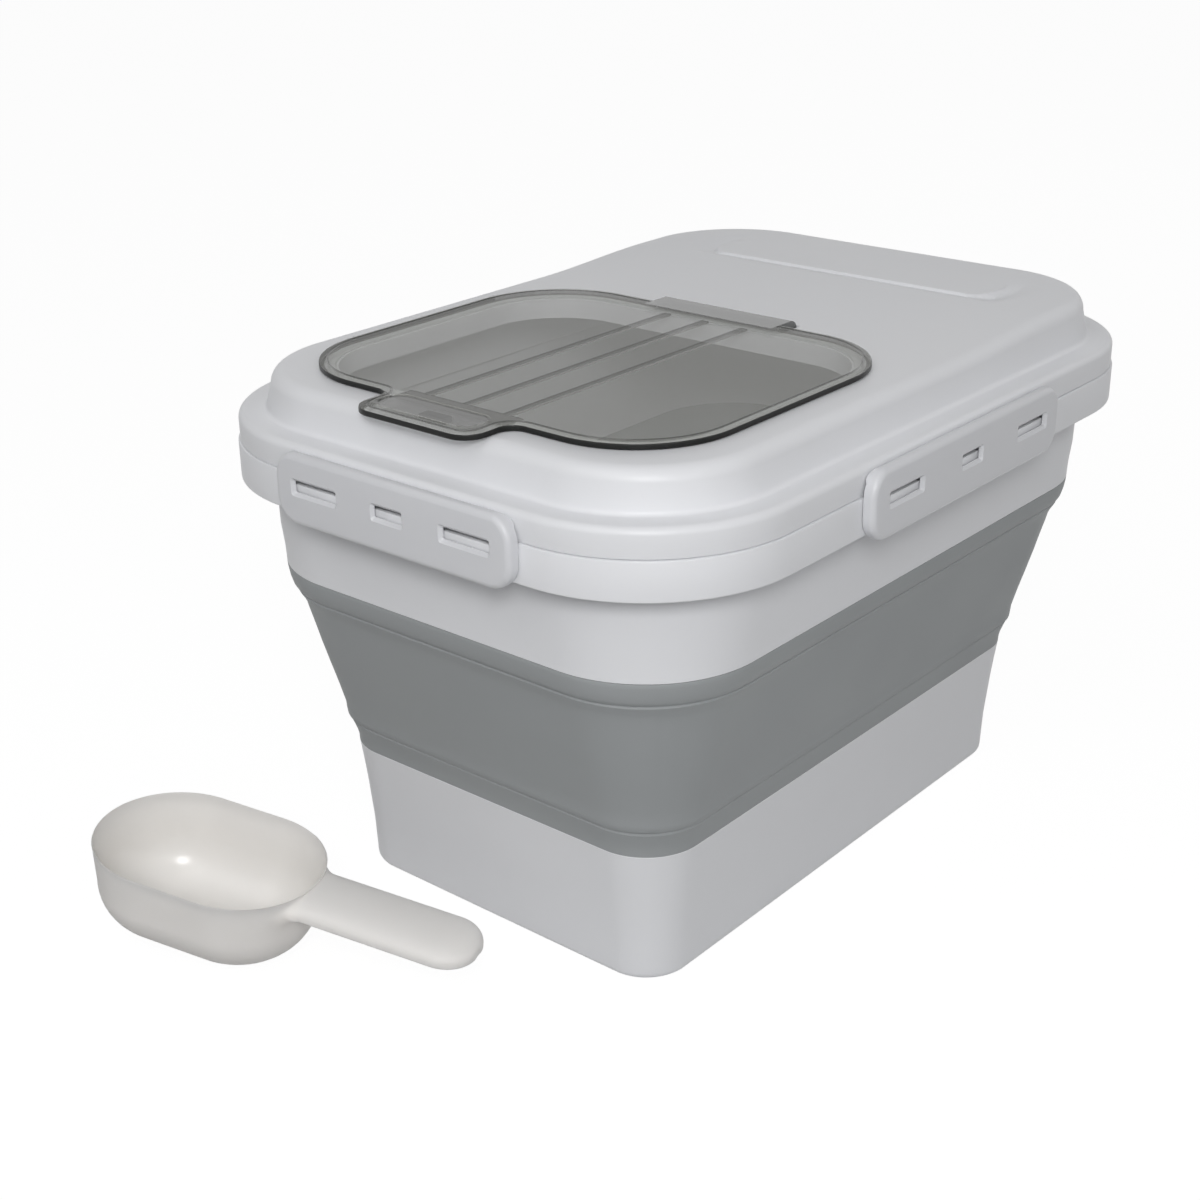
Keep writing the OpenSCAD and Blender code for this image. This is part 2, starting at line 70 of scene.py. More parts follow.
def addNode(tree, kind, settings=None, inputs=None):
    # An input is given a value, a socket, or a node whose first output is meant.
    node = tree.nodes.new(kind)
    for name, value in (settings or {}).items():
        setattr(node, name, value)
    for name, value in (inputs or {}).items():
        socket = node.inputs[name]
        if isinstance(value, bpy.types.Node):
            value = value.outputs[0]
        if isinstance(value, bpy.types.NodeSocket):
            tree.links.new(value, socket)
        else:
            socket.default_value = value
    return node


def newTree(name, sockets):
    tree = bpy.data.node_groups.new(name, "GeometryNodeTree")
    for label, kind in [("Geometry", "Geometry")] + sockets:
        tree.interface.new_socket(name=label, in_out="INPUT", socket_type="NodeSocket" + kind)
    tree.interface.new_socket(name="Geometry", in_out="OUTPUT", socket_type="NodeSocketGeometry")
    return tree, addNode(tree, "NodeGroupInput").outputs


def endTree(tree, geometry, finish):
    real = addNode(tree, "GeometryNodeRealizeInstances", inputs={"Geometry": geometry})
    painted = addNode(tree, "GeometryNodeSetMaterial", inputs={"Geometry": real, "Material": finish})
    addNode(tree, "NodeGroupOutput", inputs={"Geometry": painted})


def newObject(name, data):
    made = bpy.data.objects.new(name, data)
    scene.collection.objects.link(made)
    return made


def newPiece(name, points, faces=(), edges=()):
    # Points are given in millimetres.
    mesh = bpy.data.meshes.new(name)
    mesh.from_pydata([[c * mm for c in p] for p in points], edges, faces)
    return newObject(name, mesh)


def settle(piece):
    # Turns what the modifiers make into a plain mesh and takes them off.
    bpy.context.view_layer.update()
    depsgraph = bpy.context.evaluated_depsgraph_get()
    mesh = bpy.data.meshes.new_from_object(piece.evaluated_get(depsgraph))
    piece.modifiers.clear()
    piece.data = mesh
    return piece


def runTree(piece, tree, values):
    modifier = piece.modifiers.new(tree.name, "NODES")
    modifier.node_group = tree
    for item in tree.interface.items_tree:
        if item.in_out == "INPUT" and item.name in values:
            modifier[item.identifier] = values[item.name]
    return settle(piece)


def combine(piece, tool, operation):
    cleanMesh(tool)
    modifier = piece.modifiers.new(operation.lower(), "BOOLEAN")
    modifier.solver = "MANIFOLD"
    modifier.operation = operation
    modifier.object = tool
    settle(piece)
    bpy.data.objects.remove(tool)
    return piece


def join(piece, tool):
    return combine(piece, tool, "UNION")


def cut(piece, tool):
    return combine(piece, tool, "DIFFERENCE")


def cleanMesh(piece, smoothAngle=32, merge=0.002, closeHoles=False):
    work = bmesh.new()
    work.from_mesh(piece.data)
    bmesh.ops.remove_doubles(work, verts=work.verts, dist=merge * mm)
    bmesh.ops.dissolve_degenerate(work, edges=work.edges, dist=merge * mm)
    if closeHoles:
        bmesh.ops.holes_fill(work, edges=[e for e in work.edges if e.is_boundary])
    bmesh.ops.recalc_face_normals(work, faces=work.faces)
    work.to_mesh(piece.data)
    work.free()
    piece.data.shade_smooth()
    piece.data.set_sharp_from_angle(angle=math.radians(smoothAngle))
    return piece


def soften(piece, width):
    # Rounds the sharp edges.
    modifier = piece.modifiers.new("softEdges", "BEVEL")
    modifier.width = width * mm
    modifier.segments = 2
    modifier.limit_method = "ANGLE"
    modifier.angle_limit = math.radians(40)
    return settle(piece)


def skinFaces(rings, count, first=0):
    # The faces between closed rings of points that follow each other in the list of points.
    faces = []
    for start in range(first, first + (rings - 1) * count, count):
        for i in range(count):
            a, b = start + i, start + (i + 1) % count
            faces.append((a, b, b + count, a + count))
    return faces


def loft(name, rings, capped=True):
    # Skins rings that have the same count of points each.
    count = len(rings[0])
    points = [p for ring in rings for p in ring]
    faces = skinFaces(len(rings), count)
    if capped:
        faces.append(tuple(reversed(range(count))))
        faces.append(tuple((len(rings) - 1) * count + i for i in range(count)))
    return newPiece(name, points, faces)


def arcPoints(cx, cy, radius, fromAngle, toAngle, steps=6):
    angles = [math.radians(fromAngle + (toAngle - fromAngle) * i / steps) for i in range(steps + 1)]
    return [(cx + radius * math.cos(a), cy + radius * math.sin(a)) for a in angles]


def roundRect(half, y0, y1, radius, steps, inset=0):
    radius -= inset
    x, low, high = half - inset - radius, y0 + inset + radius, y1 - inset - radius
    points = arcPoints(x, high, radius, 0, 90, steps) + arcPoints(-x, high, radius, 90, 180, steps)
    points += arcPoints(-x, low, radius, 180, 270, steps)
    return points + arcPoints(x, low, radius, 270, 360, steps)


def outsideRect(x, y, half, y0, y1, radius):
    # Distance outside a rounded rectangle, negative inside it.
    dx = abs(x) - (half - radius)
    dy = abs(y - (y0 + y1) / 2) - ((y1 - y0) / 2 - radius)
    return math.hypot(max(dx, 0), max(dy, 0)) + min(max(dx, dy), 0) - radius


def smoothStep(value):
    t = min(max(value, 0), 1)
    return t * t * (3 - 2 * t)


def dress(piece, *materials):
    piece.data.materials.clear()
    for material in materials:
        piece.data.materials.append(material)


def emptyMaterial(name):
    material = bpy.data.materials.new(name)
    material.use_nodes = True
    material.node_tree.nodes.clear()
    return material, material.node_tree


def newMaterial(name, inputs):
    material, tree = emptyMaterial(name)
    shader = addNode(tree, "ShaderNodeBsdfPrincipled", inputs=inputs)
    addNode(tree, "ShaderNodeOutputMaterial", inputs={"Surface": shader})
    place = addNode(tree, "ShaderNodeTexCoord").outputs["Object"]
    return material, tree, shader, place


def noise(tree, place, sizeMm, detail):
    # The scale is how many features fit in a metre.
    return addNode(tree, "ShaderNodeTexNoise", inputs={
        "Vector": place, "Scale": 1 / (sizeMm * mm), "Detail": detail})


def tint(tree, shader, share, look):
    colour = addNode(tree, "ShaderNodeMix", {"data_type": "RGBA"}, {
        0: share, 6: linear(look["darker"]), 7: linear(look["lighter"])})
    tree.links.new(colour.outputs[2], shader.inputs["Base Color"])


def relief(tree, shader, height, look):
    bump = addNode(tree, "ShaderNodeBump", inputs={
        "Height": height, "Strength": look["bumpStrength"], "Distance": look["bumpMm"] * mm})
    tree.links.new(bump.outputs[0], shader.inputs["Normal"])


plasticLook = {"bumpMm": 0.02, "roughSpread": 0.03, "ior": 1.49, "subsurface": 0}


def mouldedPlastic(name, ownLook):
    # The colour and the gloss vary softly from place to place, and a fine grain covers the surface.
    look = {**plasticLook, **ownLook}
    material, tree, shader, place = newMaterial(name, {
        "IOR": look["ior"], "Subsurface Weight": look["subsurface"],
        "Subsurface Radius": (0.004, 0.004, 0.004), "Subsurface Scale": 1.0})
    cloud = noise(tree, place, look["cloudMm"], 2)
    tint(tree, shader, cloud, look)
    rough = addNode(tree, "ShaderNodeMapRange", inputs={
        "Value": cloud, "From Min": 0.3, "From Max": 0.7,
        "To Min": look["roughness"] - look["roughSpread"], "To Max": look["roughness"] + look["roughSpread"]})
    tree.links.new(rough.outputs[0], shader.inputs["Roughness"])
    relief(tree, shader, noise(tree, place, look["grainMm"], 3), look)
    return material


# Polypropylene, injection moulded in a satin spark-eroded tool: a cool white with a soft broad gloss.
# The tool's grain is about 0.1 mm, drawn here at 0.7 mm so that it shows.
satinPolypropylene = mouldedPlastic("satinPolypropylene", {
    "lighter": "#E9EAED", "darker": "#E3E4E7", "cloudMm": 60, "grainMm": 0.7, "bumpStrength": 0.25,
    "roughness": 0.42})

# The latches are the same polymer from a smoother tool, because they have to flex and slide.
# Their colour is painted a little darker than the lid's white: a painted shade.
shadedLatchPolypropylene = mouldedPlastic("shadedLatchPolypropylene", {
    "lighter": "#D9DADD", "darker": "#D3D4D8", "cloudMm": 40, "grainMm": 0.6, "bumpStrength": 0.2,
    "bumpMm": 0.015, "roughness": 0.36})

# Thermoplastic elastomer moulded over the white walls: matt, a neutral grey, faintly mottled.
mattElastomer = mouldedPlastic("mattElastomer", {
    "lighter": "#9DA0A2", "darker": "#969A9B", "cloudMm": 45, "grainMm": 0.9, "bumpStrength": 0.35,
    "bumpMm": 0.04, "roughness": 0.58, "roughSpread": 0.04, "ior": 1.5})

# Silicone rubber, compression moulded: pale, slightly milky and soft to the light.
paleSilicone = mouldedPlastic("paleSilicone", {
    "lighter": "#C9CBCB", "darker": "#BFC1C2", "cloudMm": 30, "grainMm": 0.8, "bumpStrength": 0.2,
    "roughness": 0.5, "ior": 1.41})

# The scoop's polypropylene has no pigment but a little cream: polished tool, glossy, and light enters it.
creamPolypropylene = mouldedPlastic("creamPolypropylene", {
    "lighter": "#F6F3EF", "darker": "#F2EFEB", "cloudMm": 50, "grainMm": 1.2, "bumpStrength": 0.12,
    "roughness": 0.24, "subsurface": 0.5})

# Outside, the same polymer comes from the satin half of the tool.
satinCreamPolypropylene = mouldedPlastic("satinCreamPolypropylene", {
    "lighter": "#F6F2EE", "darker": "#F1EDE9", "cloudMm": 50, "grainMm": 1, "bumpStrength": 0.15,
    "roughness": 0.55, "ior": 1.42, "subsurface": 0.85})


def smokeClear(name, colour, opacity, roughness=0.06, gloss=0.5, coat=0.3):
    # Styrene-acrylonitrile with a smoke tint, injection moulded in a polished tool: clear, hard and glossy.
    look = {"waveMm": 35, "bumpMm": 0.05, "bumpStrength": 0.3}
    material, tree, shader, place = newMaterial(name, {
        "Base Color": linear(colour), "Alpha": opacity, "Roughness": roughness, "Specular IOR Level": gloss,
        "IOR": 1.57, "Coat Weight": coat, "Coat Roughness": 0.04})
    relief(tree, shader, noise(tree, place, look["waveMm"], 1), look)
    return material


def drawnSteel():
    # Stainless wire, cold drawn: bright, with fine lines along its length.
    look = {"lighter": "#C4C5C8", "darker": "#A9ABAF", "lineMm": 0.25, "stretch": 0.02, "roughness": 0.26,
            "bumpStrength": 0.3, "bumpMm": 0.01}
    material, tree, shader, place = newMaterial("drawnSteelWire", {
        "Metallic": 1.0, "Roughness": look["roughness"]})
    along = addNode(tree, "ShaderNodeMapping", inputs={"Vector": place, "Scale": (look["stretch"], 1, 1)})
    lines = noise(tree, along, look["lineMm"], 2)
    tint(tree, shader, lines, look)
    relief(tree, shader, lines, look)
    return material


smokeAcrylonitrile = smokeClear("smokeAcrylonitrile", "#BEBFB8", 0.25)
# Nearly black: painted shade for the side wall of the clear plate; the neck of the tab takes it too.
smokeEdgeShadeAndNeck = smokeClear("smokeAcrylonitrileEdgeShadeAndNeck", "#151615", 0.94, 0.3, 0.2, 0)
# Lighter: the side wall's painted shade where the wall faces partly to the rear.
smokeRearEdgeShade = smokeClear("smokeAcrylonitrileRearEdgeShade", "#2B2C2A", 0.75, 0.3, 0.2, 0)
# Denser: the thicker ribs and catch and the floor of the tab, and painted shade in the groove and where the
# side wall faces the rear.
smokeDenseAndShade = smokeClear("smokeAcrylonitrileDenseAndShade", "#3A3B36", 0.7)
smokeBarrel = smokeClear("smokeAcrylonitrileBarrel", "#6C6E6D", 0.82)
drawnSteelWire = drawnSteel()
print("materials made:", len(bpy.data.materials))


def wallTree():
    # Sweeps the profile it is given round the rim skirt's outline: x is outwards and y is down.
    tree, given = newTree("sweptWall", [
        ("Width", "Float"), ("Length", "Float"), ("Corner radius", "Float"), ("Corner steps", "Int"),
        ("Finish", "Material")])
    profile = addNode(tree, "GeometryNodeMeshToCurve", inputs={"Mesh": given["Geometry"]})
    outline = addNode(tree, "GeometryNodeCurvePrimitiveQuadrilateral",
                      inputs={"Width": given["Width"], "Height": given["Length"]})
    rounded = addNode(tree, "GeometryNodeFilletCurve", {"mode": "POLY"}, {
        "Curve": outline, "Count": given["Corner steps"], "Radius": given["Corner radius"]})
    level = addNode(tree, "GeometryNodeSetCurveNormal", {"mode": "Z_UP"}, {"Curve": rounded})
    wall = addNode(tree, "GeometryNodeCurveToMesh", inputs={"Curve": level, "Profile Curve": profile})
    endTree(tree, wall, given["Finish"])
    return tree


def rowTree():
    # Sets copies of what it is given in a row along X, with its own scale for the middle one.
    tree, given = newTree("rowOfCopies", [
        ("Count", "Int"), ("Pitch", "Float"), ("Middle scale", "Float"), ("Finish", "Material")])

    def maths(operation, *values):
        return addNode(tree, "ShaderNodeMath", {"operation": operation}, dict(enumerate(values)))

    gaps = maths("SUBTRACT", given["Count"], 1)
    start = addNode(tree, "ShaderNodeCombineXYZ", inputs={
        "X": maths("MULTIPLY", given["Pitch"], maths("MULTIPLY", gaps, -0.5))})
    step = addNode(tree, "ShaderNodeCombineXYZ", inputs={"X": given["Pitch"]})
    points = addNode(tree, "GeometryNodeMeshLine", {"mode": "OFFSET"}, {
        "Count": given["Count"], "Start Location": start, "Offset": step})
    index = addNode(tree, "GeometryNodeInputIndex")
    isMiddle = maths("COMPARE", index, maths("MULTIPLY", gaps, 0.5), 0.1)
    width = addNode(tree, "ShaderNodeMix", {"data_type": "FLOAT"}, {
        0: isMiddle, 2: 1, 3: given["Middle scale"]})
    scale = addNode(tree, "ShaderNodeCombineXYZ", inputs={"X": width, "Y": 1, "Z": 1})
    copies = addNode(tree, "GeometryNodeInstanceOnPoints", inputs={
        "Points": points, "Instance": given["Geometry"], "Scale": scale})
    endTree(tree, copies, given["Finish"])
    return tree


sweptWall = wallTree()
rowOfCopies = rowTree()


def sweepWall(name, profile, material, closed=True):
    # The profile is a list of (inset from the rim skirt, height).
    points = [(-inset, -height, 0) for inset, height in profile]
    edges = [(i, i + 1) for i in range(len(points) - 1)]
    if closed:
        edges.append((len(points) - 1, 0))
    piece = newPiece(name, points, edges=edges)
    return runTree(piece, sweptWall, {
        "Width": sizes["width"] * mm, "Length": sizes["length"] * mm, "Finish": material,
        "Corner radius": sizes["cornerRadius"] * mm, "Corner steps": sizes["cornerSteps"]})


def onSide(piece, side):
    # Takes what is drawn for the front to side 0 front, 1 right, 2 back or 3 left, with y = 0 on the skirt.
    reach = (sizes["length"] if side % 2 == 0 else sizes["width"]) / 2
    turn = Matrix.Rotation(math.radians(90 * side), 4, "Z")
    piece.data.transform(turn @ Matrix.Translation((0, -reach * mm, 0)))
    return piece


def rowPiece(piece, count, pitch, middle, material):
    return runTree(piece, rowOfCopies, {
        "Count": count, "Pitch": pitch * mm, "Middle scale": middle, "Finish": material})


def prism(name, outline, low, high):
    return loft(name, [[(x, y, z) for x, y in outline] for z in (low, high)])


def boxPiece(name, low, high):
    outline = [(low[0], low[1]), (high[0], low[1]), (high[0], high[1]), (low[0], high[1])]
    return prism(name, outline, low[2], high[2])


def alongX(name, outline, half, left=None):
    # Draws a (y, z) outline out along X, from -half (or -left) to half.
    return loft(name, [[(x, y, z) for y, z in outline] for x in (-(left or half), half)])


def rodAlongX(name, half, radius, y, z, steps=40):
    return alongX(name, arcPoints(y, z, radius, 0, 360 * (steps - 1) / steps, steps - 1), half)


def show(piece, node, body, material=None, smoothAngle=32):
    cleanMesh(piece, smoothAngle)
    if material:
        dress(piece, material)
    if body:
        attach(piece, body)
    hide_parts(node)
    print("made", piece.name, len(piece.data.polygons), "faces")


baseLook = {
    "topInset": 46.5, "footInset": 52.2, "footRound": 4, "tongueWall": 1.6, "tongueTop": 82,
    "tongueFit": 2.02, "lowCreaseInset": 42.6, "stepHeight": 5, "lipRound": 0.5,
    # (inset, height) up the drafted wall
    "wall": [(51.9, 12), (51.4, 24), (50.3, 36), (49.2, 48), (47.8, 60)],
}


def makeBase():
    look = baseLook
    wall, top, inset = sizes["wall"], sizes["baseTop"], look["topInset"]
    slope = (inset - look["lowCreaseInset"]) / (sizes["lowCrease"] - top)
    tongue = inset + look["tongueFit"]
    head = tongue - slope * (look["tongueTop"] - top)
    thick, lip, step, r = look["tongueWall"], look["lipRound"], look["stepHeight"], look["footRound"]
    outer = arcPoints(look["footInset"] + r, r, r, 270, 180, 6)
    inner = arcPoints(look["footInset"] + r, r + sizes["floor"] - wall, r - wall, 180, 270, 6)
    profile = outer + look["wall"] + [
        (inset + 0.05, top - lip), (inset + lip, top), (tongue, top), (head, look["tongueTop"]),
        (head + thick, look["tongueTop"]), (tongue + thick, top), (tongue + thick, top - step),
        (inset + wall, top - 2 * step)] + inner
    piece = cleanMesh(sweepWall("baseTub", profile, satinPolypropylene, closed=False), closeHoles=True)
    show(piece, "base_tub", "base")


bandLook = {
    "wall": 2.0,
    # (inset, height) from the foot to the head: strip, crease, panel that turns inside out, crease, strip
    "outer": [(46.5, 70), (46.35, 73), (45.4, 77), (43.9, 81), (43.1, 83), (43.35, 83.7), (43.3, 84.3),
              (42.6, 84.7), (41.5, 86), (41.1, 89), (40.9, 92), (39.6, 97), (38, 103), (36.3, 109),
              (34.4, 115.5), (32.6, 122), (30.9, 128), (29.4, 134), (27.8, 140), (26.3, 145.5), (25.2, 150),
              (23.6, 153.5), (22, 156), (21.5, 157), (22, 157.7), (21.9, 158.3), (20.7, 158.9), (19.6, 160.5),
              (18.6, 164), (18, 167.5), (17.8, 170), (17.9, 170.15)],
    # Points that the plain inside doesn't repeat: the two creases and the head.
    "outsideOnly": (4, 5, 6, 7, 23, 24, 25, 26, 31),
}


def makeBand():
    look = bandLook
    outer = look["outer"]
    inner = [(inset + look["wall"], height) for inset, height in outer]
    plain = [p for i, p in enumerate(inner) if i not in look["outsideOnly"]]
    piece = sweepWall("foldingBand", outer + plain[::-1], mattElastomer)
    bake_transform(piece)
    show(piece, "folding_band", None, smoothAngle=40)


collarLook = {
    "footInset": 17.8, "neckInset": 15.6, "gap": 0.3, "tongueWall": 1.6, "tongueDrop": 10, "tongueFit": 2.3,
    "highCreaseInset": 20.4,
    # width, width of the middle one, height
    "rib": (28, 19, 4.4), "ribRaise": 227.85, "ribReach": 3.8, "ribRound": 0.25,
}


def makeCollar():
    look = collarLook
    wall, part, lip = sizes["wall"], sizes["partingLine"], sizes["lipTop"]
    skirtFoot, bandTop = sizes["skirtFoot"], sizes["collarFoot"]
    footInset, neck = look["footInset"], look["neckInset"]
    foot = bandTop + look["gap"]
    tongue = footInset + look["tongueFit"]
    slope = (look["highCreaseInset"] - footInset) / (bandTop - sizes["highCrease"])
    low = foot - look["tongueDrop"]
    lowIn = tongue + slope * look["tongueDrop"]
    tongueIn = tongue + look["tongueWall"]
    profile = [
        (tongue, foot), (footInset + 0.15, foot), (footInset, foot + 0.15), (footInset - 0.35, foot + 8),
        (neck + 0.6, 190), (neck, 214), (neck, part - wall - 1.5), (neck - 1.5, part - wall),
        (wall + 1, part - wall), (wall, part - wall - 1), (wall, skirtFoot + 0.4), (wall - 0.4, skirtFoot),
        (0.5, skirtFoot), (0.1, skirtFoot + 0.4), (0, skirtFoot + 1.2),
        (0, part - 0.8), (0.25, part - 0.2), (0.9, part), (neck, part),
        (neck, lip - 0.5), (neck + 0.5, lip), (neck + wall - 0.5, lip), (neck + wall, lip - 0.5),
        (neck + wall, part), (footInset + wall, bandTop + 10), (tongueIn, bandTop + 5),
        (tongueIn, foot), (lowIn + look["tongueWall"], low), (lowIn, low)]
    piece = cleanMesh(sweepWall("collar", profile, satinPolypropylene))
    width, middle, height = look["rib"]
    for side in range(4):
        rib = boxPiece("rib", (-width / 2, -look["ribReach"], look["ribRaise"] - height / 2),
                       (width / 2, wall / 2, look["ribRaise"] + height / 2))
        soften(rib, look["ribRound"])
        rowPiece(rib, 3, latchLook["slotPitch"][side % 2], middle / width, satinPolypropylene)
        join(piece, onSide(rib, side))
    show(piece, "collar", "collar")


lidLook = {
    "skirtInset": 0.9, "wall": 2.4, "edgeRound": 3.5, "plateauInset": 14.5, "plateauDraft": 2.5,
    "plateauRound": 7, "footFillet": 2.5, "plugOuter": 18.6, "plugInner": 20.6, "plugFoot": 226.5,
    "cornerSteps": 36, "columns": 37, "coarseRow": 4.5, "fineRow": 1.0, "fineFrom": 104, "topRings": 52,
    "underRings": 12,
    # The soft rise to the rear, and the share of it that the underside follows.
    "rise": 3, "riseFrom": 30, "riseRun": 86, "riseUnder": 0.75,
    # The grip is a bar with a sunken step round it: deeper and wider at its ends, and fading out at its back.
    # Its outline: half width, front, back and corner radius.
    "grip": (88, 125, 159, 12), "gripDrop": 1.7, "gripFade": 10, "gripBefore": 30,
    "endRun": 12, "endFade": 0.7, "endDrop": 1.3, "endOpen": 0.8, "openFrom": 14,
    "openRun": 16, "stepFrom": 0.7, "stepRun": 1.6,
    # The wall round the opening, the block and the trough of the hinge, the pocket of the catch.
    "chuteWall": 2, "chuteDrop": 7.5, "chuteTop": 1.2, "blockHalf": 44.6, "blockReach": 7.5,
    "blockTop": 0.05, "troughHalf": 40, "troughRadius": 5.5, "troughReach": 6.8, "troughLow": 1.3,
    "pocket": (10.3, 3.3, 1.3),
}


def topRise(x, y):
    look = lidLook
    height = look["rise"] * smoothStep((y - look["riseFrom"]) / look["riseRun"])
    half, front = look["grip"][:2]
    if y < front - look["gripBefore"]:
        return height
    away = outsideRect(x, y, *look["grip"])
    atEnd = smoothStep((abs(x) - half) / look["endRun"] + 0.5)
    fade = look["gripFade"] * (1 + look["endFade"] * atEnd)
    back = smoothStep((y - front - look["openFrom"]) / look["openRun"])
    step = smoothStep((away + look["stepFrom"]) / look["stepRun"])
    drop = look["gripDrop"] * (1 + look["endDrop"] * atEnd) * step * (1 - smoothStep(away / fade))
    return height - drop * (1 - back * (1 - look["endOpen"] * atEnd))


def ringPoints(inset, rows, columns):
    # One closed outline of the lid at an inset, with the same count of points at every inset.
    r = max(sizes["cornerRadius"] - inset, 0)

    def corner(sx, sy, start):
        return arcPoints(sx * coreX, sy * coreY, r, start, start + 90, lidLook["cornerSteps"])[:-1]

    points = [(coreX + r, y) for y in rows[:-1]] + corner(1, 1, 0)
    points += [(x, coreY + r) for x in columns[:0:-1]] + corner(-1, 1, 90)
    points += [(-coreX - r, y) for y in rows[:0:-1]] + corner(-1, -1, 180)
    return points + [(x, -coreY - r) for x in columns[:-1]] + corner(1, -1, 270)


def lidShell():
    look = lidLook
    top, flange, foot = sizes["plateauTop"], sizes["flangeTop"], sizes["lidFoot"]
    rows = []
    y = -coreY
    while y < coreY - 0.01:
        rows.append(y)
        y += look["fineRow"] if y > look["fineFrom"] else look["coarseRow"]
    rows.append(coreY)
    columns = [-coreX + 2 * coreX * i / look["columns"] for i in range(look["columns"] + 1)]
    across = len(columns)

    skirt, wall, edge, fillet = look["skirtInset"], look["wall"], look["edgeRound"], look["footFillet"]
    plugOut, plugIn, plugFoot = look["plugOuter"], look["plugInner"], look["plugFoot"]
    shoulder = look["plateauRound"]
    head = look["plateauInset"] + look["plateauDraft"] + shoulder
    inward = sizes["cornerRadius"] - head
    outer = [(skirt + 0.5, foot), (skirt + 0.1, foot + 0.15), (skirt, foot + 0.6)]
    outer += arcPoints(skirt + edge, flange - edge, edge, 180, 90, 8)
    outer += arcPoints(look["plateauInset"] - fillet, flange + fillet, fillet, -90, 0, 5)
    outer += arcPoints(head, top - shoulder, shoulder, 180, 90, 12)
    outer += [(head + inward * i / look["topRings"], top) for i in range(1, look["topRings"] + 1)]
    inner = [(skirt + wall, foot), (skirt + wall, flange - wall - 1), (skirt + wall + 1, flange - wall),
             (plugOut, flange - wall), (plugOut, plugFoot + 0.5), (plugOut + 0.5, plugFoot),
             (plugIn - 0.5, plugFoot), (plugIn, plugFoot + 0.5), (plugIn, flange),
             (look["plateauInset"] + wall, flange)]
    inner += arcPoints(head, top - shoulder, shoulder - wall, 180, 90, 6)
    inner += [(head + inward * i / look["underRings"], top - wall) for i in range(1, look["underRings"] + 1)]

    points = []
    faces = []
    count = len(ringPoints(0, rows, columns))

    def shell(profile, inside):
        # One skin of the lid: rings down to the core rectangle, which rows and columns fill.
        first = len(points)
        under, follow = (wall, look["riseUnder"]) if inside else (0, 1)
        for inset, height in profile:
            share = min(max((height - flange) / (top - flange - under), 0), 1)
            points.extend((x, y, height + share * topRise(x, y) * follow)
                          for x, y in ringPoints(inset, rows, columns))
        quads = skinFaces(len(profile), count, first)
        start = len(points)
        points.extend((x, y, profile[-1][1] + topRise(x, y) * follow) for y in rows for x in columns)
        for r in range(len(rows) - 1):
            for c in range(across - 1):
                a = start + r * across + c
                quads.append((a, a + 1, a + across + 1, a + across))
        faces.extend(quad[::-1] if inside else quad for quad in quads)
        return first

    outerFirst = shell(outer, False)
    innerFirst = shell(inner, True)
    for i in range(count):
        j = (i + 1) % count
        faces.append((outerFirst + j, outerFirst + i, innerFirst + i, innerFirst + j))
    return cleanMesh(newPiece("lid", points, faces), merge=0.01)


def openLid(piece):
    # The wall round the opening, then the opening, the hinge block, the hinge trough and the catch pocket.
    look, f = lidLook, flapLook
    top, (hy, hz) = sizes["plateauTop"], sizes["hinge"]
    ledge, chute, reach = f["ledge"], look["chuteWall"], look["blockReach"]
    x, y0, y1, r = f["half"] - ledge, f["front"] + ledge, f["rear"] - ledge, f["cornerRadius"] - ledge
    join(piece, prism("chute", roundRect(x, y0, y1, r, 24, -chute),
                      top - look["wall"] - look["chuteDrop"], top - look["chuteTop"]))
    join(piece, boxPiece("block", (-look["blockHalf"], hy - reach, hz - reach),
                         (look["blockHalf"], hy + reach, top - look["blockTop"])))
    cut(piece, prism("opening", roundRect(x, y0, y1, r, 24), top - through, top + through))
    radius, back = look["troughRadius"], hy + look["troughReach"]
    trough = arcPoints(hy, hz, radius, 180, 346, 20)
    trough += [(back, hz - look["troughLow"]), (back, top + through), (hy - radius, top + through)]
    cut(piece, alongX("trough", trough, look["troughHalf"]))
    px, py, pz = look["pocket"]
    cut(piece, boxPiece("pocket", (-px, catchMiddle() - py, top - pz),
                        (px, catchMiddle() + py, top + through)))


def addLugs(piece):
    # Each lug is an eye round the pin. It hangs down inside the latch and turns in to the flange.
    k = latchLook
    out, z = k["axis"]
    inside, head, foot = k["lugReach"], z - k["lugTurn"], z - k["lugDrop"]
    for side in range(4):
        ear = arcPoints(out, z, k["lugEye"], -54, 234, 20)
        ear += [(out - k["lugNeck"], foot), (inside, foot), (inside, head), (out + k["lugNeck"], head)]
        lug = alongX("lug", ear, k["lugHalf"])
        rowPiece(lug, 2, 2 * (k["half"][side % 2] - k["lugIn"]), 1, satinPolypropylene)
        join(piece, onSide(lug, side))


def makeLid():
    piece = lidShell()
    openLid(piece)
    addLugs(piece)
    show(piece, "lid", "lid", satinPolypropylene, 34)


gasketLook = {
    # (inset, height): the rim gasket from the skirt inwards, the flap gasket from the flap's outline inwards
    "rim": [(18.58, 238.8), (15.4, 238.8), (14.8, 239.3), (14.6, 240), (14.8, 240.7), (14.6, 241.4),
            (14.6, 243), (15.2, 243.6), (18.58, 243.6)],
    "flap": [(8, 264.5), (8, 265.3), (7.4, 265.7), (4.6, 265.7), (4, 265.3), (4, 264.5)],
}


def makeGaskets():
    show(sweepWall("rimGasket", gasketLook["rim"], paleSilicone), "rim_gasket", "lid")
    f = flapLook
    section = gasketLook["flap"]
    rings = []
    for inset, height in section + section[:1]:
        outline = roundRect(f["half"], f["front"], f["rear"], f["cornerRadius"], 20, inset)
        rings.append([(x, y, height) for x, y in outline])
    show(loft("flapGasket", rings, capped=False), "flap_gasket", "lid", paleSilicone)


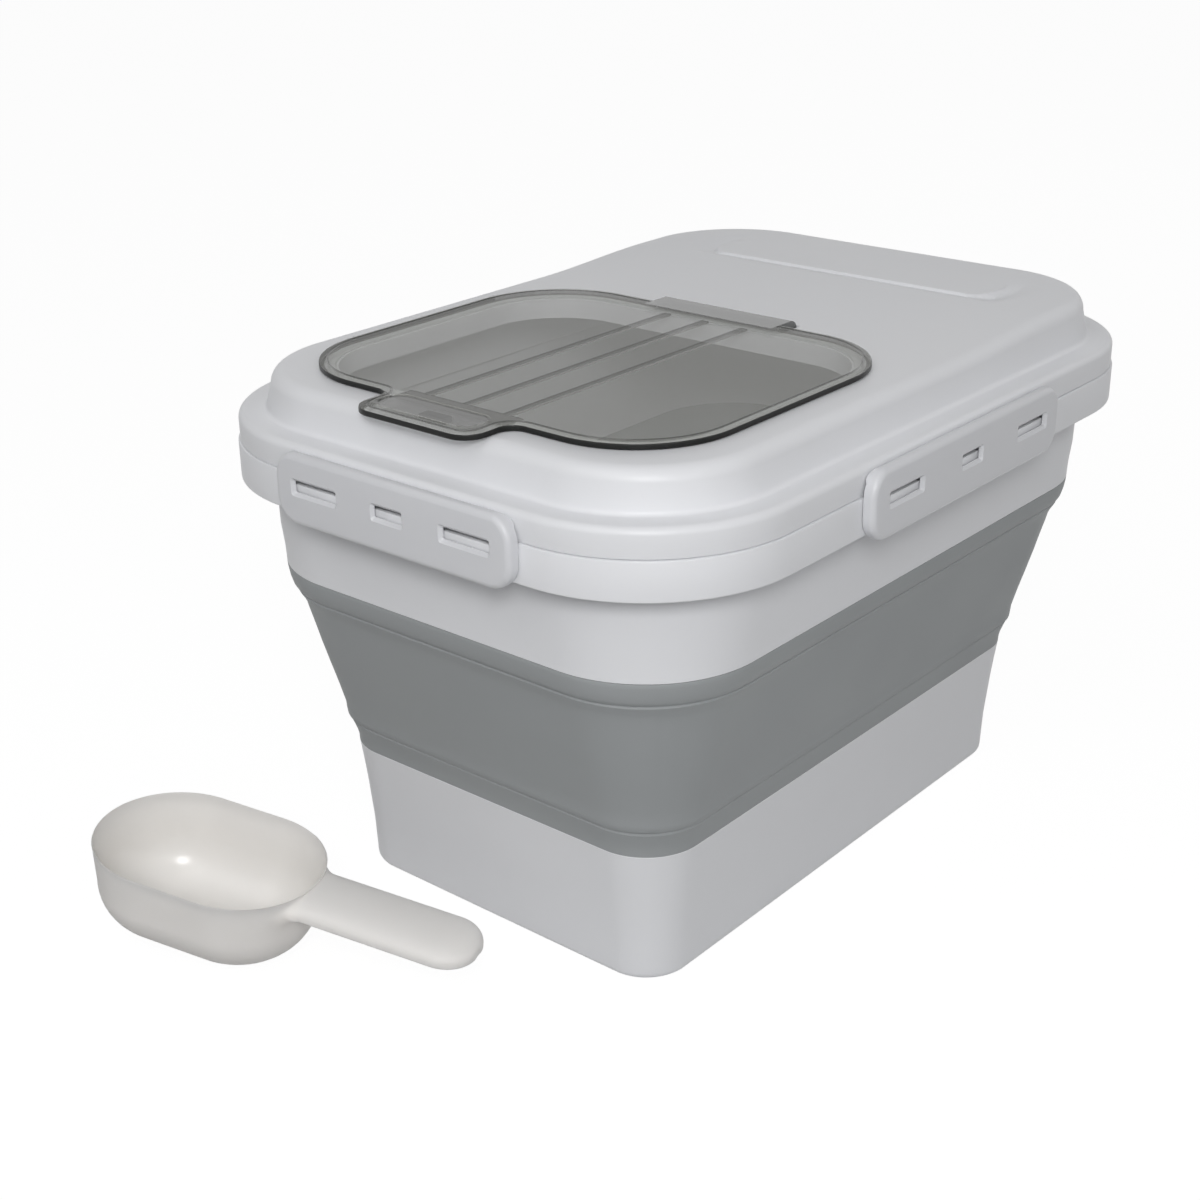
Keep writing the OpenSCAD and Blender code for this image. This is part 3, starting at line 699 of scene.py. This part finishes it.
flapLook = {
    "half": 113, "front": -176, "rear": 16, "cornerRadius": 50, "ledge": 9, "top": 268.2, "plate": 2.2,
    "edge": 2.2, "foot": 264.8, "tabHalf": 35.5, "tabReach": 26, "tabRound": 11, "tabFillet": 8,
    "ribPitch": 23.5, "ribWidth": 4.2, "ribHeight": 0.9, "neckIn": 1.9, "neckFrom": -1.5, "neckTo": 10.5,
    "neckHeight": 0.2, "barrelHalf": 38.8, "barrelLeft": 39.5, "barrelRadius": 5.2, "boreRadius": 1.3,
    "tongueReach": 9, "tongueRaise": 0.05, "gusset": (1.6, 1.4), "stopIn": 0.5, "stopReach": 3.5,
    "stopPast": 1.2, "barrelRise": 0.7, "catchHalf": 7, "catchReach": 3, "tabFloorIn": 7, "groove": 0.45,
    "shadeBelow": 0.9, "onWall": 0.6, "steps": 10,
    # (inset from the tab's outline, height over the plate)
    "tabRing": [(4.7, -0.4), (4.7, 0.35), (5.1, 0.6), (6.5, 0.6), (6.9, 0.35), (6.9, -0.4)],
}


def catchMiddle():
    return flapLook["front"] - flapLook["tabReach"] / 3


def flapOutline(inset):
    f = flapLook
    x, t, steps = f["half"], f["tabHalf"], f["steps"]
    front, rear, tab = f["front"], f["rear"], f["front"] - f["tabReach"]
    big, small, fillet = f["cornerRadius"], f["tabRound"], f["tabFillet"]
    right = arcPoints(t - small, tab + small, small - inset, -90, 0, steps)
    right += arcPoints(t + fillet, front - fillet, fillet + inset, 180, 90, steps)
    right += arcPoints(x - big, front + big, big - inset, -90, 0, 2 * steps)
    right += arcPoints(x - big, rear - big, big - inset, 0, 90, 2 * steps)
    left = [(-px, py) for px, py in right[::-1]]
    return right + left


def nearOutline(x, y):
    # Whether a point of the flap lies on its outer side wall.
    f = flapLook
    front, rear = f["front"], f["rear"]
    if y > rear - 4 and abs(x) < f["barrelLeft"] + 0.3:
        return False
    if y < front + 1 and abs(x) < f["tabHalf"] + f["tabFillet"] + 0.2:
        return abs(x) > f["tabHalf"] - 0.9 or y < front - f["tabReach"] + f["tabRound"] * 0.9
    return outsideRect(x, y, f["half"], front, rear, f["cornerRadius"]) > -f["onWall"]


def flapPlate():
    f = flapLook
    top, foot, edge, groove = f["top"], f["foot"], f["edge"], f["groove"]
    under = top - f["plate"]
    section = [(edge + 0.3, under), (edge, under - 0.3), (edge, foot + 0.4), (edge - 0.3, foot)]
    section += [(0.35, foot), (0, foot + 0.4), (0, top - 1.3), (0.15, top - 0.75), (0.5, top - 0.3),
                (1.2, top), (3, top), (3.3, top - groove), (4.1, top - groove), (4.4, top - 0.05),
                (4.8, top)]
    piece = cleanMesh(loft("flap", [[(x, y, z) for x, y in flapOutline(inset)] for inset, z in section]))

    rib = boxPiece("rib", (-f["ribWidth"] / 2, f["front"] + f["ledge"] + 1, under - f["ribHeight"]),
                   (f["ribWidth"] / 2, f["rear"] - f["ledge"] - 1, under + 0.5))
    rowPiece(rib, 3, f["ribPitch"], 1, smokeAcrylonitrile)
    join(piece, rib)
    # The neck of the tab is a little thicker, where it takes the load of a lifting finger.
    half = f["tabHalf"] - f["neckIn"]
    neck = boxPiece("neck", (-half, f["front"] + f["neckFrom"], under - f["neckHeight"]),
                    (half, f["front"] + f["neckTo"], under + 0.5))
    return join(piece, neck)


def addBarrel(piece):
    # The edge stops at the tongue, so that the plate runs on into the hinge barrel.
    f = flapLook
    top, rear, half, r = f["top"], f["rear"], f["barrelHalf"], f["barrelRadius"]
    hy, hz = sizes["hinge"]
    under, tongue = top - f["plate"], rear - f["tongueReach"]
    width, reach = half - f["stopIn"], f["stopReach"]
    cut(piece, boxPiece("edgeStop", (-width, rear - reach, top - through),
                        (width, rear + f["stopPast"], under)))
    (run, rise), raised = f["gusset"], top + f["tongueRaise"]
    arch = [(hy + f["barrelRise"], raised)] + arcPoints(hy, hz, r, 82, -180, 30)
    arch += [(hy - r, hz + rise), (hy - r - run, under), (tongue, under + 0.2), (tongue, raised)]
    join(piece, alongX("barrel", arch, half, f["barrelLeft"]))
    cut(piece, rodAlongX("bore", half + through, f["boreRadius"], hy, hz, 24))


def addTab(piece):
    # The raised ring on the tab, and the catch under it.
    f = flapLook
    top, front, middle = f["top"], f["front"], catchMiddle()
    rings = []
    for inset, raised in f["tabRing"] + f["tabRing"][:1]:
        outline = roundRect(f["tabHalf"] - inset, front - f["tabReach"] + inset, front - inset / 4,
                            f["tabRound"] - inset / 2, 8)
        rings.append([(x, y, top + raised) for x, y in outline])
    join(piece, loft("ring", rings, capped=False))
    join(piece, boxPiece("catch", (-f["catchHalf"], middle - f["catchReach"], sizes["plateauTop"] - 1),
                         (f["catchHalf"], middle + f["catchReach"], top - 1)))


def flapFinish(corners, centre, normal):
    # The side wall looks nearly black, because light is led along the plate to it: here that is painted
    # shade, and it is painted lighter where the wall faces the rear. The groove's floor is painted darker, a
    # painted shade in the groove.
    # Ribs, barrel and catch are thicker than the plate, so they look denser. The neck, a little thicker, is
    # drawn as dark as the side wall, and the floor of the tab as dense as the ribs.
    f = flapLook
    top, front, rear, floorIn = f["top"], f["front"], f["rear"], f["tabFloorIn"]
    under, near = top - f["plate"], 0.1
    x, y, z = centre
    far = max(corners, key=lambda c: abs(c.x))
    onWall = max(abs(normal.x), abs(normal.y)) > 0.5
    rearward = 0 if y < front else normal.y
    onEdge = onWall and z < top - f["shadeBelow"] and nearOutline(far.x, far.y)
    onEdgeFoot = z < f["foot"] + 0.05 and y < rear
    # The neck is drawn as dark as the side wall.
    onNeck = (z < under - near and abs(x) < f["tabHalf"] - f["neckIn"] + near
              and f["neckFrom"] - near < y - front < f["neckTo"] + near)
    onTongue = abs(far.x) < f["barrelLeft"] + 0.3 and (y > rear - 1.6 or (y > 0 and z > top + 0.01))
    # The floor of the tab is drawn as dense as the ribs.
    onTab = front - f["tabReach"] + floorIn < y < front - floorIn and abs(x) < f["tabHalf"] - floorIn
    # The groove's floor is painted darker: painted shade in the groove.
    inGroove = normal.z > 0.3 and top - f["groove"] - 0.01 < z < top - 0.2
    onCatch = abs(y - catchMiddle()) < f["catchReach"] + near and abs(x) < f["catchHalf"] + near
    onRib = z < under - near and y < rear - f["ledge"] and any(
        abs(x - i * f["ribPitch"]) < f["ribWidth"] / 2 + 0.01 for i in (-1, 0, 1))
    # The side wall is painted shade: darkest where it faces the front, lighter where it faces the rear.
    if onEdge or onEdgeFoot:
        return smokeEdgeShadeAndNeck if rearward < 0.15 else smokeRearEdgeShade if rearward < 0.6 else smokeDenseAndShade
    if onNeck:
        return smokeEdgeShadeAndNeck
    if onTongue:
        return smokeBarrel
    if onTab or inGroove or onCatch or onRib or (onWall and z < under):
        return smokeDenseAndShade
    return smokeAcrylonitrile


def makeFlap():
    piece = flapPlate()
    addBarrel(piece)
    addTab(piece)
    cleanMesh(piece)
    finishes = [smokeAcrylonitrile, smokeEdgeShadeAndNeck, smokeDenseAndShade, smokeBarrel, smokeRearEdgeShade]
    dress(piece, *finishes)
    for face in piece.data.polygons:
        corners = [piece.data.vertices[i].co / mm for i in face.vertices]
        centre = [c / mm for c in face.center]
        face.material_index = finishes.index(flapFinish(corners, centre, face.normal))
    show(piece, "flap", "flap")


latchLook = {
    # of the front and back latches, and of the right and left ones
    "half": (70, 82.5), "slotPitch": (45, 56),
    # width, width of the middle one, height
    "slot": (26, 17, 5.4), "slotBevel": 1.5, "slotZ": 229.5, "slotRound": 0.8,
    # (y from the rim skirt, z) of the pin
    "axis": (-2.9, 241.4), "headRadius": 3.4, "boreIn": 14.7, "boreRadius": 0.95,
    "foot": 211.6, "head": 244.8, "corner": 12, "front": 6.3, "back": 0.4, "skin": 2, "side": 2.4,
    "frontRound": 2.8, "keepLow": 200,
    # Two lugs of the lid hold the pin, this far in from the latch's ends, and the latch has room for them.
    "lugIn": 20, "lugHalf": 1.4, "lugEye": 1.9, "lugNeck": 1.1, "lugReach": 2.1, "lugTurn": 4.4,
    "lugDrop": 6.4, "roomHalf": 1.65, "roomEye": 2.2, "roomNeck": 1.3, "roomReach": 6.8, "roomTop": 5.9,
}


def latchPlate(name, half):
    # A dished plate: its back pocket, its edge, and a front with a soft rim.
    k = latchLook
    front, back, skin = -k["front"], -k["back"], k["skin"]

    def outline(inset, y):
        return [(x, y, z) for x, z in roundRect(half, k["foot"], k["head"], k["corner"], 10, inset)]

    rings = [outline(k["side"] + 0.5, front + skin), outline(k["side"], front + skin + 0.5),
             outline(k["side"], back), outline(0.2, back), outline(0, back - 0.3)]
    rim = []
    for angle in range(0, 91, 15):
        a = math.radians(angle)
        rim.append(outline(k["frontRound"] * (1 - math.cos(a)), front + k["frontRound"] * (1 - math.sin(a))))
    piece = cleanMesh(loft(name, rings + rim))

    # The pocket ends under the pin, and it is open at the foot between the corners.
    out, z = k["axis"]
    solidHead = rodAlongX("head", half - 0.2, k["headRadius"] - 0.05, out, z, 48)
    within = [outline(0.03, 3)] + [[(x, y + 0.02, height) for x, y, height in ring] for ring in rim]
    combine(solidHead, loft("within", within), "INTERSECT")
    join(piece, solidHead)
    keep = arcPoints(out, z, k["headRadius"], 0, 180, 24)
    keep += [(front - 0.001, k["keepLow"]), (back + 0.001, k["keepLow"])]
    combine(piece, alongX("keep", keep, half + through), "INTERSECT")
    foot = boxPiece("foot", (-half + k["corner"], front + skin, k["foot"] - through),
                    (half - k["corner"], through, k["foot"] + k["corner"]))
    return cut(piece, foot)


def makeLatch(name, side, node):
    k = latchLook
    half, pitch = k["half"][side % 2], k["slotPitch"][side % 2]
    piece = latchPlate(name, half)
    width, middle, height = k["slot"]
    front, bevel = -k["front"], k["slotBevel"]
    rings = []
    for grow, y in ((0, through), (0, front + bevel), (bevel, front), (bevel, front - through)):
        points = roundRect(width / 2 + grow, k["slotZ"] - height / 2 - grow, k["slotZ"] + height / 2 + grow,
                           k["slotRound"] + grow / 2, 4)
        rings.append([(x, y, z) for x, z in points])
    cut(piece, rowPiece(loft("slot", rings), 3, pitch, middle / width, shadedLatchPolypropylene))

    # Room for the lid's two lugs, which stay still while the latch turns round them.
    (out, z), reach = k["axis"], k["roomReach"]
    room = arcPoints(out, z, k["roomEye"], 60, 234, 14)
    room += [(out - k["roomNeck"], z - reach), (out + reach, z - reach)]
    room += [(out + reach, z), (out + k["headRadius"], z + k["roomTop"])]
    pocket = alongX("pocket", room, k["roomHalf"])
    rowPiece(pocket, 2, 2 * (half - k["lugIn"]), 1, shadedLatchPolypropylene)
    cut(piece, pocket)
    cut(piece, rodAlongX("bore", half - k["boreIn"], k["boreRadius"], out, z, 20))
    show(onSide(piece, side), node, node, shadedLatchPolypropylene)


pinLook = {"radius": 0.9, "short": 15, "rodRadius": 1.25, "rodHalf": 43.3, "chamfer": 0.25}


def makePin(name, node, half, radius, axis, side=None):
    c = pinLook["chamfer"]
    rings = []
    for x, r in ((-half, radius - c), (-half + c, radius), (half - c, radius), (half, radius - c)):
        rings.append([(x, a, b) for a, b in arcPoints(*axis, r, 0, 345, 23)])
    piece = loft(name, rings)
    if side is not None:
        onSide(piece, side)
    show(piece, node, "lid", drawnSteelWire)


scoopLook = {
    "length": 115, "width": 81, "depth": 46, "round": 26, "draft": 2.5, "wall": 1.8, "rimWall": 0.5,
    "handleReach": 83.9, "handleRoot": 8, "handleHalf": 18.1, "handleDrop": 0.25, "handleArch": 9.15,
    "handleFlat": 0.62, "tipRound": 16, "tipDrop": 0.7, "tipLeast": 0.02,
    # The fillet of the root fades out over the last stretch below the handle's top.
    "fillet": 9, "filletFade": 6, "filletBelow": 0.5, "filletNear": 0.3,
    "bowlSteps": 90, "handleRows": 90, "handleAcross": 30, "rowCrowding": 1.3,
    "lean": 7.5, "turn": 18.5, "place": (-100.6, -256.4),
}
bowlHalf = (scoopLook["length"] - scoopLook["width"]) / 2
bowlRim = scoopLook["width"] / 2 - 0.02
bowlFoot = bowlRim - scoopLook["draft"]
handleTop = scoopLook["depth"] - scoopLook["handleDrop"]
handleLow = handleTop - scoopLook["handleArch"]


def fromBowl(x, y, z):
    # Distance outside the bowl's outer wall, negative inside it.
    s = scoopLook
    rise = min(max((z - s["round"]) / (s["depth"] - s["round"]), 0), 1)
    under = max(s["round"] - z, 0)
    radius = bowlFoot + s["draft"] * rise - s["round"] + math.sqrt(max(s["round"] ** 2 - under ** 2, 0))
    return math.hypot(max(abs(x) - bowlHalf, 0), y) - radius


def stadiums(profile):
    # One long round outline for each (radius, height) of the profile.
    rings = []
    steps = scoopLook["bowlSteps"]
    for radius, z in profile:
        right = arcPoints(bowlHalf, 0, radius, -90, 90, steps)
        left = arcPoints(-bowlHalf, 0, radius, 90, 270, steps)
        rings.append([(x, y, z) for x, y in right + left])
    return rings


def handleArch(thin):
    # Rows of points along the handle: an arch, open below, with a blunt round tip.
    s = scoopLook
    steps, across, tipRound = s["handleRows"], s["handleAcross"], s["tipRound"]
    start = s["length"] / 2 - s["handleRoot"]
    end = s["length"] / 2 + s["handleReach"] - thin
    rows = []
    for i in range(steps + 1):
        x = start + (end - start) * (1 - (1 - i / steps) ** s["rowCrowding"])
        toTip = min((end - x) / (tipRound - thin), 1)
        tip = math.sqrt(max(1 - (1 - toTip) ** 2, s["tipLeast"] ** 2))
        width = s["handleHalf"] - tipRound + (tipRound - thin) * tip
        rise = (handleTop - thin - handleLow) * tip ** s["tipDrop"]
        rows.append([(x, width * math.cos(a), handleLow + rise * math.sin(a) ** s["handleFlat"])
                     for a in (math.pi * j / across for j in range(across + 1))])
    return rows


def makeHandle():
    over, under = handleArch(0), handleArch(scoopLook["wall"])
    rows, across = len(over), len(over[0])
    layer = rows * across
    faces = []

    def quad(corner, oneWay, otherWay):
        faces.append((corner, corner + oneWay, corner + oneWay + otherWay, corner + otherWay))

    for start in range(0, layer - across, across):
        for corner in range(start, start + across - 1):
            quad(corner, 1, across)
            quad(corner + layer, across, 1)
        quad(start, across, layer)
        quad(start + across - 1, layer, across)
    for corner in range(across - 1):
        quad(corner, layer, 1)
        quad(corner + layer - across, 1, layer)
    points = [p for row in over + under for p in row]
    return cleanMesh(newPiece("handle", points, faces), merge=0.01)


def blendRoot(piece):
    # The handle's foot flows into the bowl: both surfaces are drawn to the level of their smooth union.
    s = scoopLook

    def gaps(x, y, z):
        toBowl = fromBowl(x, y, z)
        if z < handleLow:
            return toBowl, math.hypot(max(abs(y) - s["handleHalf"], 0), handleLow - z)
        arch = handleTop - handleLow
        a, b, power = y / s["handleHalf"], (z - handleLow) / arch, 2 / s["handleFlat"]
        slope = math.hypot(2 * a / s["handleHalf"], power * b ** (power - 1) / arch)
        return toBowl, (a * a + b ** power - 1) / max(slope, 0.01)

    def level(x, y, z):
        toBowl, toHandle = gaps(x, y, z)
        fade = min(max((handleTop - s["filletBelow"] - z) / s["filletFade"], 0), 1)
        reach = max(s["fillet"] * fade, 0.01)
        near = max(reach - abs(toBowl - toHandle), 0) / reach
        return min(toBowl, toHandle) - near * near * reach / 4

    small = 0.05
    steps = [Vector((small, 0, 0)), Vector((0, small, 0)), Vector((0, 0, small))]
    for vertex in piece.data.vertices:
        at = vertex.co / mm
        toBowl, toHandle = gaps(*at)
        nearer, farther = sorted((toBowl, toHandle))
        if at.x < bowlHalf or abs(nearer) > s["filletNear"] or farther > s["fillet"]:
            continue
        for turn in range(3):
            here = level(*at)
            slope = Vector([(level(*(at + step)) - here) / small for step in steps])
            if slope.length > 0.2:
                at -= slope * here / slope.length_squared
        vertex.co = at * mm


def makeScoop():
    s = scoopLook
    rim, foot, low = bowlRim, bowlFoot, s["round"]
    depth, wall, thin, draft = s["depth"], s["wall"], s["rimWall"], s["draft"]
    wallTop = depth - low
    outer = [(0.01, 0), (6, 0)] + arcPoints(foot - low, low, low, -90, 0, 16)
    outer += [(foot + draft * i / 14, low + wallTop * i / 14) for i in range(1, 14)]
    outer += [(rim, depth - 0.5), (rim - 0.2, depth - 0.12), (rim - thin / 2, depth),
              (rim - thin + 0.2, depth - 0.12), (rim - thin, depth - 0.5)]
    inner = [(foot - thin + draft * 0.9, low + wallTop * 0.9)]
    inner += [(foot - wall + draft * t, low + wallTop * t) for t in (0.6, 0.3)]
    inner += arcPoints(foot - low, low, low - wall, 0, -90, 16) + [(6, wall), (0.01, wall)]
    piece = cleanMesh(loft("scoop", stadiums(outer + inner)), merge=0.05)
    join(piece, makeHandle())
    blendRoot(piece)
    # What of the handle's root shows inside the bowl is taken away again.
    hollow = [(0.01, wall)] + [(r - 0.01, z) for r, z in inner[-2::-1]]
    hollow += [(rim - thin - 0.01, depth - 0.5), (rim - thin, depth + 2)]
    cut(piece, cleanMesh(loft("hollow", stadiums(hollow)), merge=0.05))

    # The bowl is polished inside, and all the rest is satin.
    dress(piece, creamPolypropylene, satinCreamPolypropylene)
    for face in piece.data.polygons:
        x, y, z = face.center / mm
        away = fromBowl(x, y, z)
        face.material_index = int(away > -thin / 2 or z < wall / 2 or (z < low and away > -wall / 2))
    lean = math.radians(s["lean"])
    lift = (bowlHalf + foot - low) * math.sin(lean) + low * (1 - math.cos(lean))
    place = Matrix.Translation((s["place"][0] * mm, s["place"][1] * mm, lift * mm))
    turn = Matrix.Rotation(math.radians(s["turn"]), 4, "Z")
    piece.data.transform(place @ turn @ Matrix.Rotation(lean, 4, "Y"))
    show(piece, "scoop", "scoop", smoothAngle=40)


makeBase()
makeBand()
makeCollar()
makeLid()
makeGaskets()
makeFlap()
for sideIndex, sideName in enumerate(("front", "right", "back", "left")):
    makeLatch("latch" + sideName.capitalize(), sideIndex, "latch_" + sideName)
    pinHalf = latchLook["half"][sideIndex % 2] - pinLook["short"]
    makePin("latchPin" + sideName.capitalize(), "latch_pin_" + sideName, pinHalf, pinLook["radius"],
            latchLook["axis"], sideIndex)
makePin("flapHingeRod", "flap_hinge_rod", pinLook["rodHalf"], pinLook["rodRadius"], sizes["hinge"])
makeScoop()


floorLook = {"size": 12000, "colour": "#B8B8B8", "glow": 0.95, "share": 0.2}


def endBySight(tree, kind, lighting, seen):
    # The first lights the object, and the second is what the camera and mirrored rays see.
    path = addNode(tree, "ShaderNodeLightPath").outputs
    sight = addNode(tree, "ShaderNodeMath", {"operation": "MAXIMUM"}, {
        0: path["Is Camera Ray"], 1: path["Is Glossy Ray"]})
    mix = addNode(tree, "ShaderNodeMixShader", inputs={0: sight, 1: lighting, 2: seen})
    addNode(tree, "ShaderNodeOutput" + kind, inputs={"Surface": mix})


def makeFloor():
    half = floorLook["size"] / 2
    corners = [(-half, -half, 0), (half, -half, 0), (half, half, 0), (-half, half, 0)]
    floor = newPiece("floor", corners, [(0, 1, 2, 3)])
    material, tree = emptyMaterial("paleFloor")
    colour = linear(floorLook["colour"])
    paint = addNode(tree, "ShaderNodeBsdfDiffuse", inputs={"Color": colour})
    dim = addNode(tree, "ShaderNodeBsdfDiffuse", inputs={
        "Color": [c * floorLook["share"] for c in colour[:3]] + [1]})
    glow = addNode(tree, "ShaderNodeEmission", inputs={"Color": (1, 1, 1, 1), "Strength": floorLook["glow"]})
    seen = addNode(tree, "ShaderNodeAddShader", inputs={0: dim, 1: glow})
    endBySight(tree, "Material", paint, seen)
    dress(floor, material)


worldLook = {"soft": 0.21, "seen": 1}


def makeWorld():
    world = bpy.data.worlds.new("studio")
    scene.world = world
    world.use_nodes = True
    tree = world.node_tree
    tree.nodes.clear()
    soft, seen = (addNode(tree, "ShaderNodeBackground", inputs={
        "Color": (1, 1, 1, 1), "Strength": worldLook[name]}) for name in ("soft", "seen"))
    endBySight(tree, "World", soft, seen)


lamps = {
    # name: (place, aim, size in metres, watts)
    "softboxKey": ((0.9, -1.15, 1.0), (0.1, -0.15, 0.12), 0.42, 10.2),
    "softboxFront": ((0.05, -1.05, 1.4), (0.05, -0.1, 0.2), 1.0, 4.6),
    "softboxBack": ((0.6, 1.9, 0.9), (0, 0, 0.15), 1.2, 2),
    "softboxRight": ((1.7, -0.9, 0.7), (0, 0, 0.12), 1.4, 3.2),
}


def makeLamps():
    for name, (place, aim, size, watts) in lamps.items():
        data = bpy.data.lights.new(name, "AREA")
        data.shape = "SQUARE"
        data.size = size
        data.energy = watts
        lamp = newObject(name, data)
        lamp.location = place
        lamp.rotation_euler = (Vector(aim) - Vector(place)).to_track_quat("-Z", "Y").to_euler()


cameraLook = {"place": (0.5466, -0.72512, 0.5137), "yaw": 40.17, "pitch": 23.60, "roll": -0.71,
              "focalPixels": 1884.55, "imagePixels": 1200, "sensorMm": 36}


def makeCamera():
    c = cameraLook
    yaw, pitch, roll = (math.radians(c[key]) for key in ("yaw", "pitch", "roll"))
    forward = Vector((-math.sin(yaw) * math.cos(pitch), math.cos(yaw) * math.cos(pitch), -math.sin(pitch)))
    right = Vector((math.cos(yaw), math.sin(yaw), 0))
    up = right.cross(forward)
    tilted = math.cos(roll) * right + math.sin(roll) * up
    upright = -math.sin(roll) * right + math.cos(roll) * up
    data = bpy.data.cameras.new("camera")
    data.sensor_width = c["sensorMm"]
    data.sensor_height = c["sensorMm"]
    data.lens = c["sensorMm"] * c["focalPixels"] / c["imagePixels"]
    scene.camera = newObject("camera", data)
    turn = Matrix((tilted, upright, -forward)).transposed().to_4x4()
    scene.camera.matrix_world = Matrix.Translation(Vector(c["place"])) @ turn


makeFloor()
makeWorld()
makeLamps()
makeCamera()
print("stage, lamps and camera made")
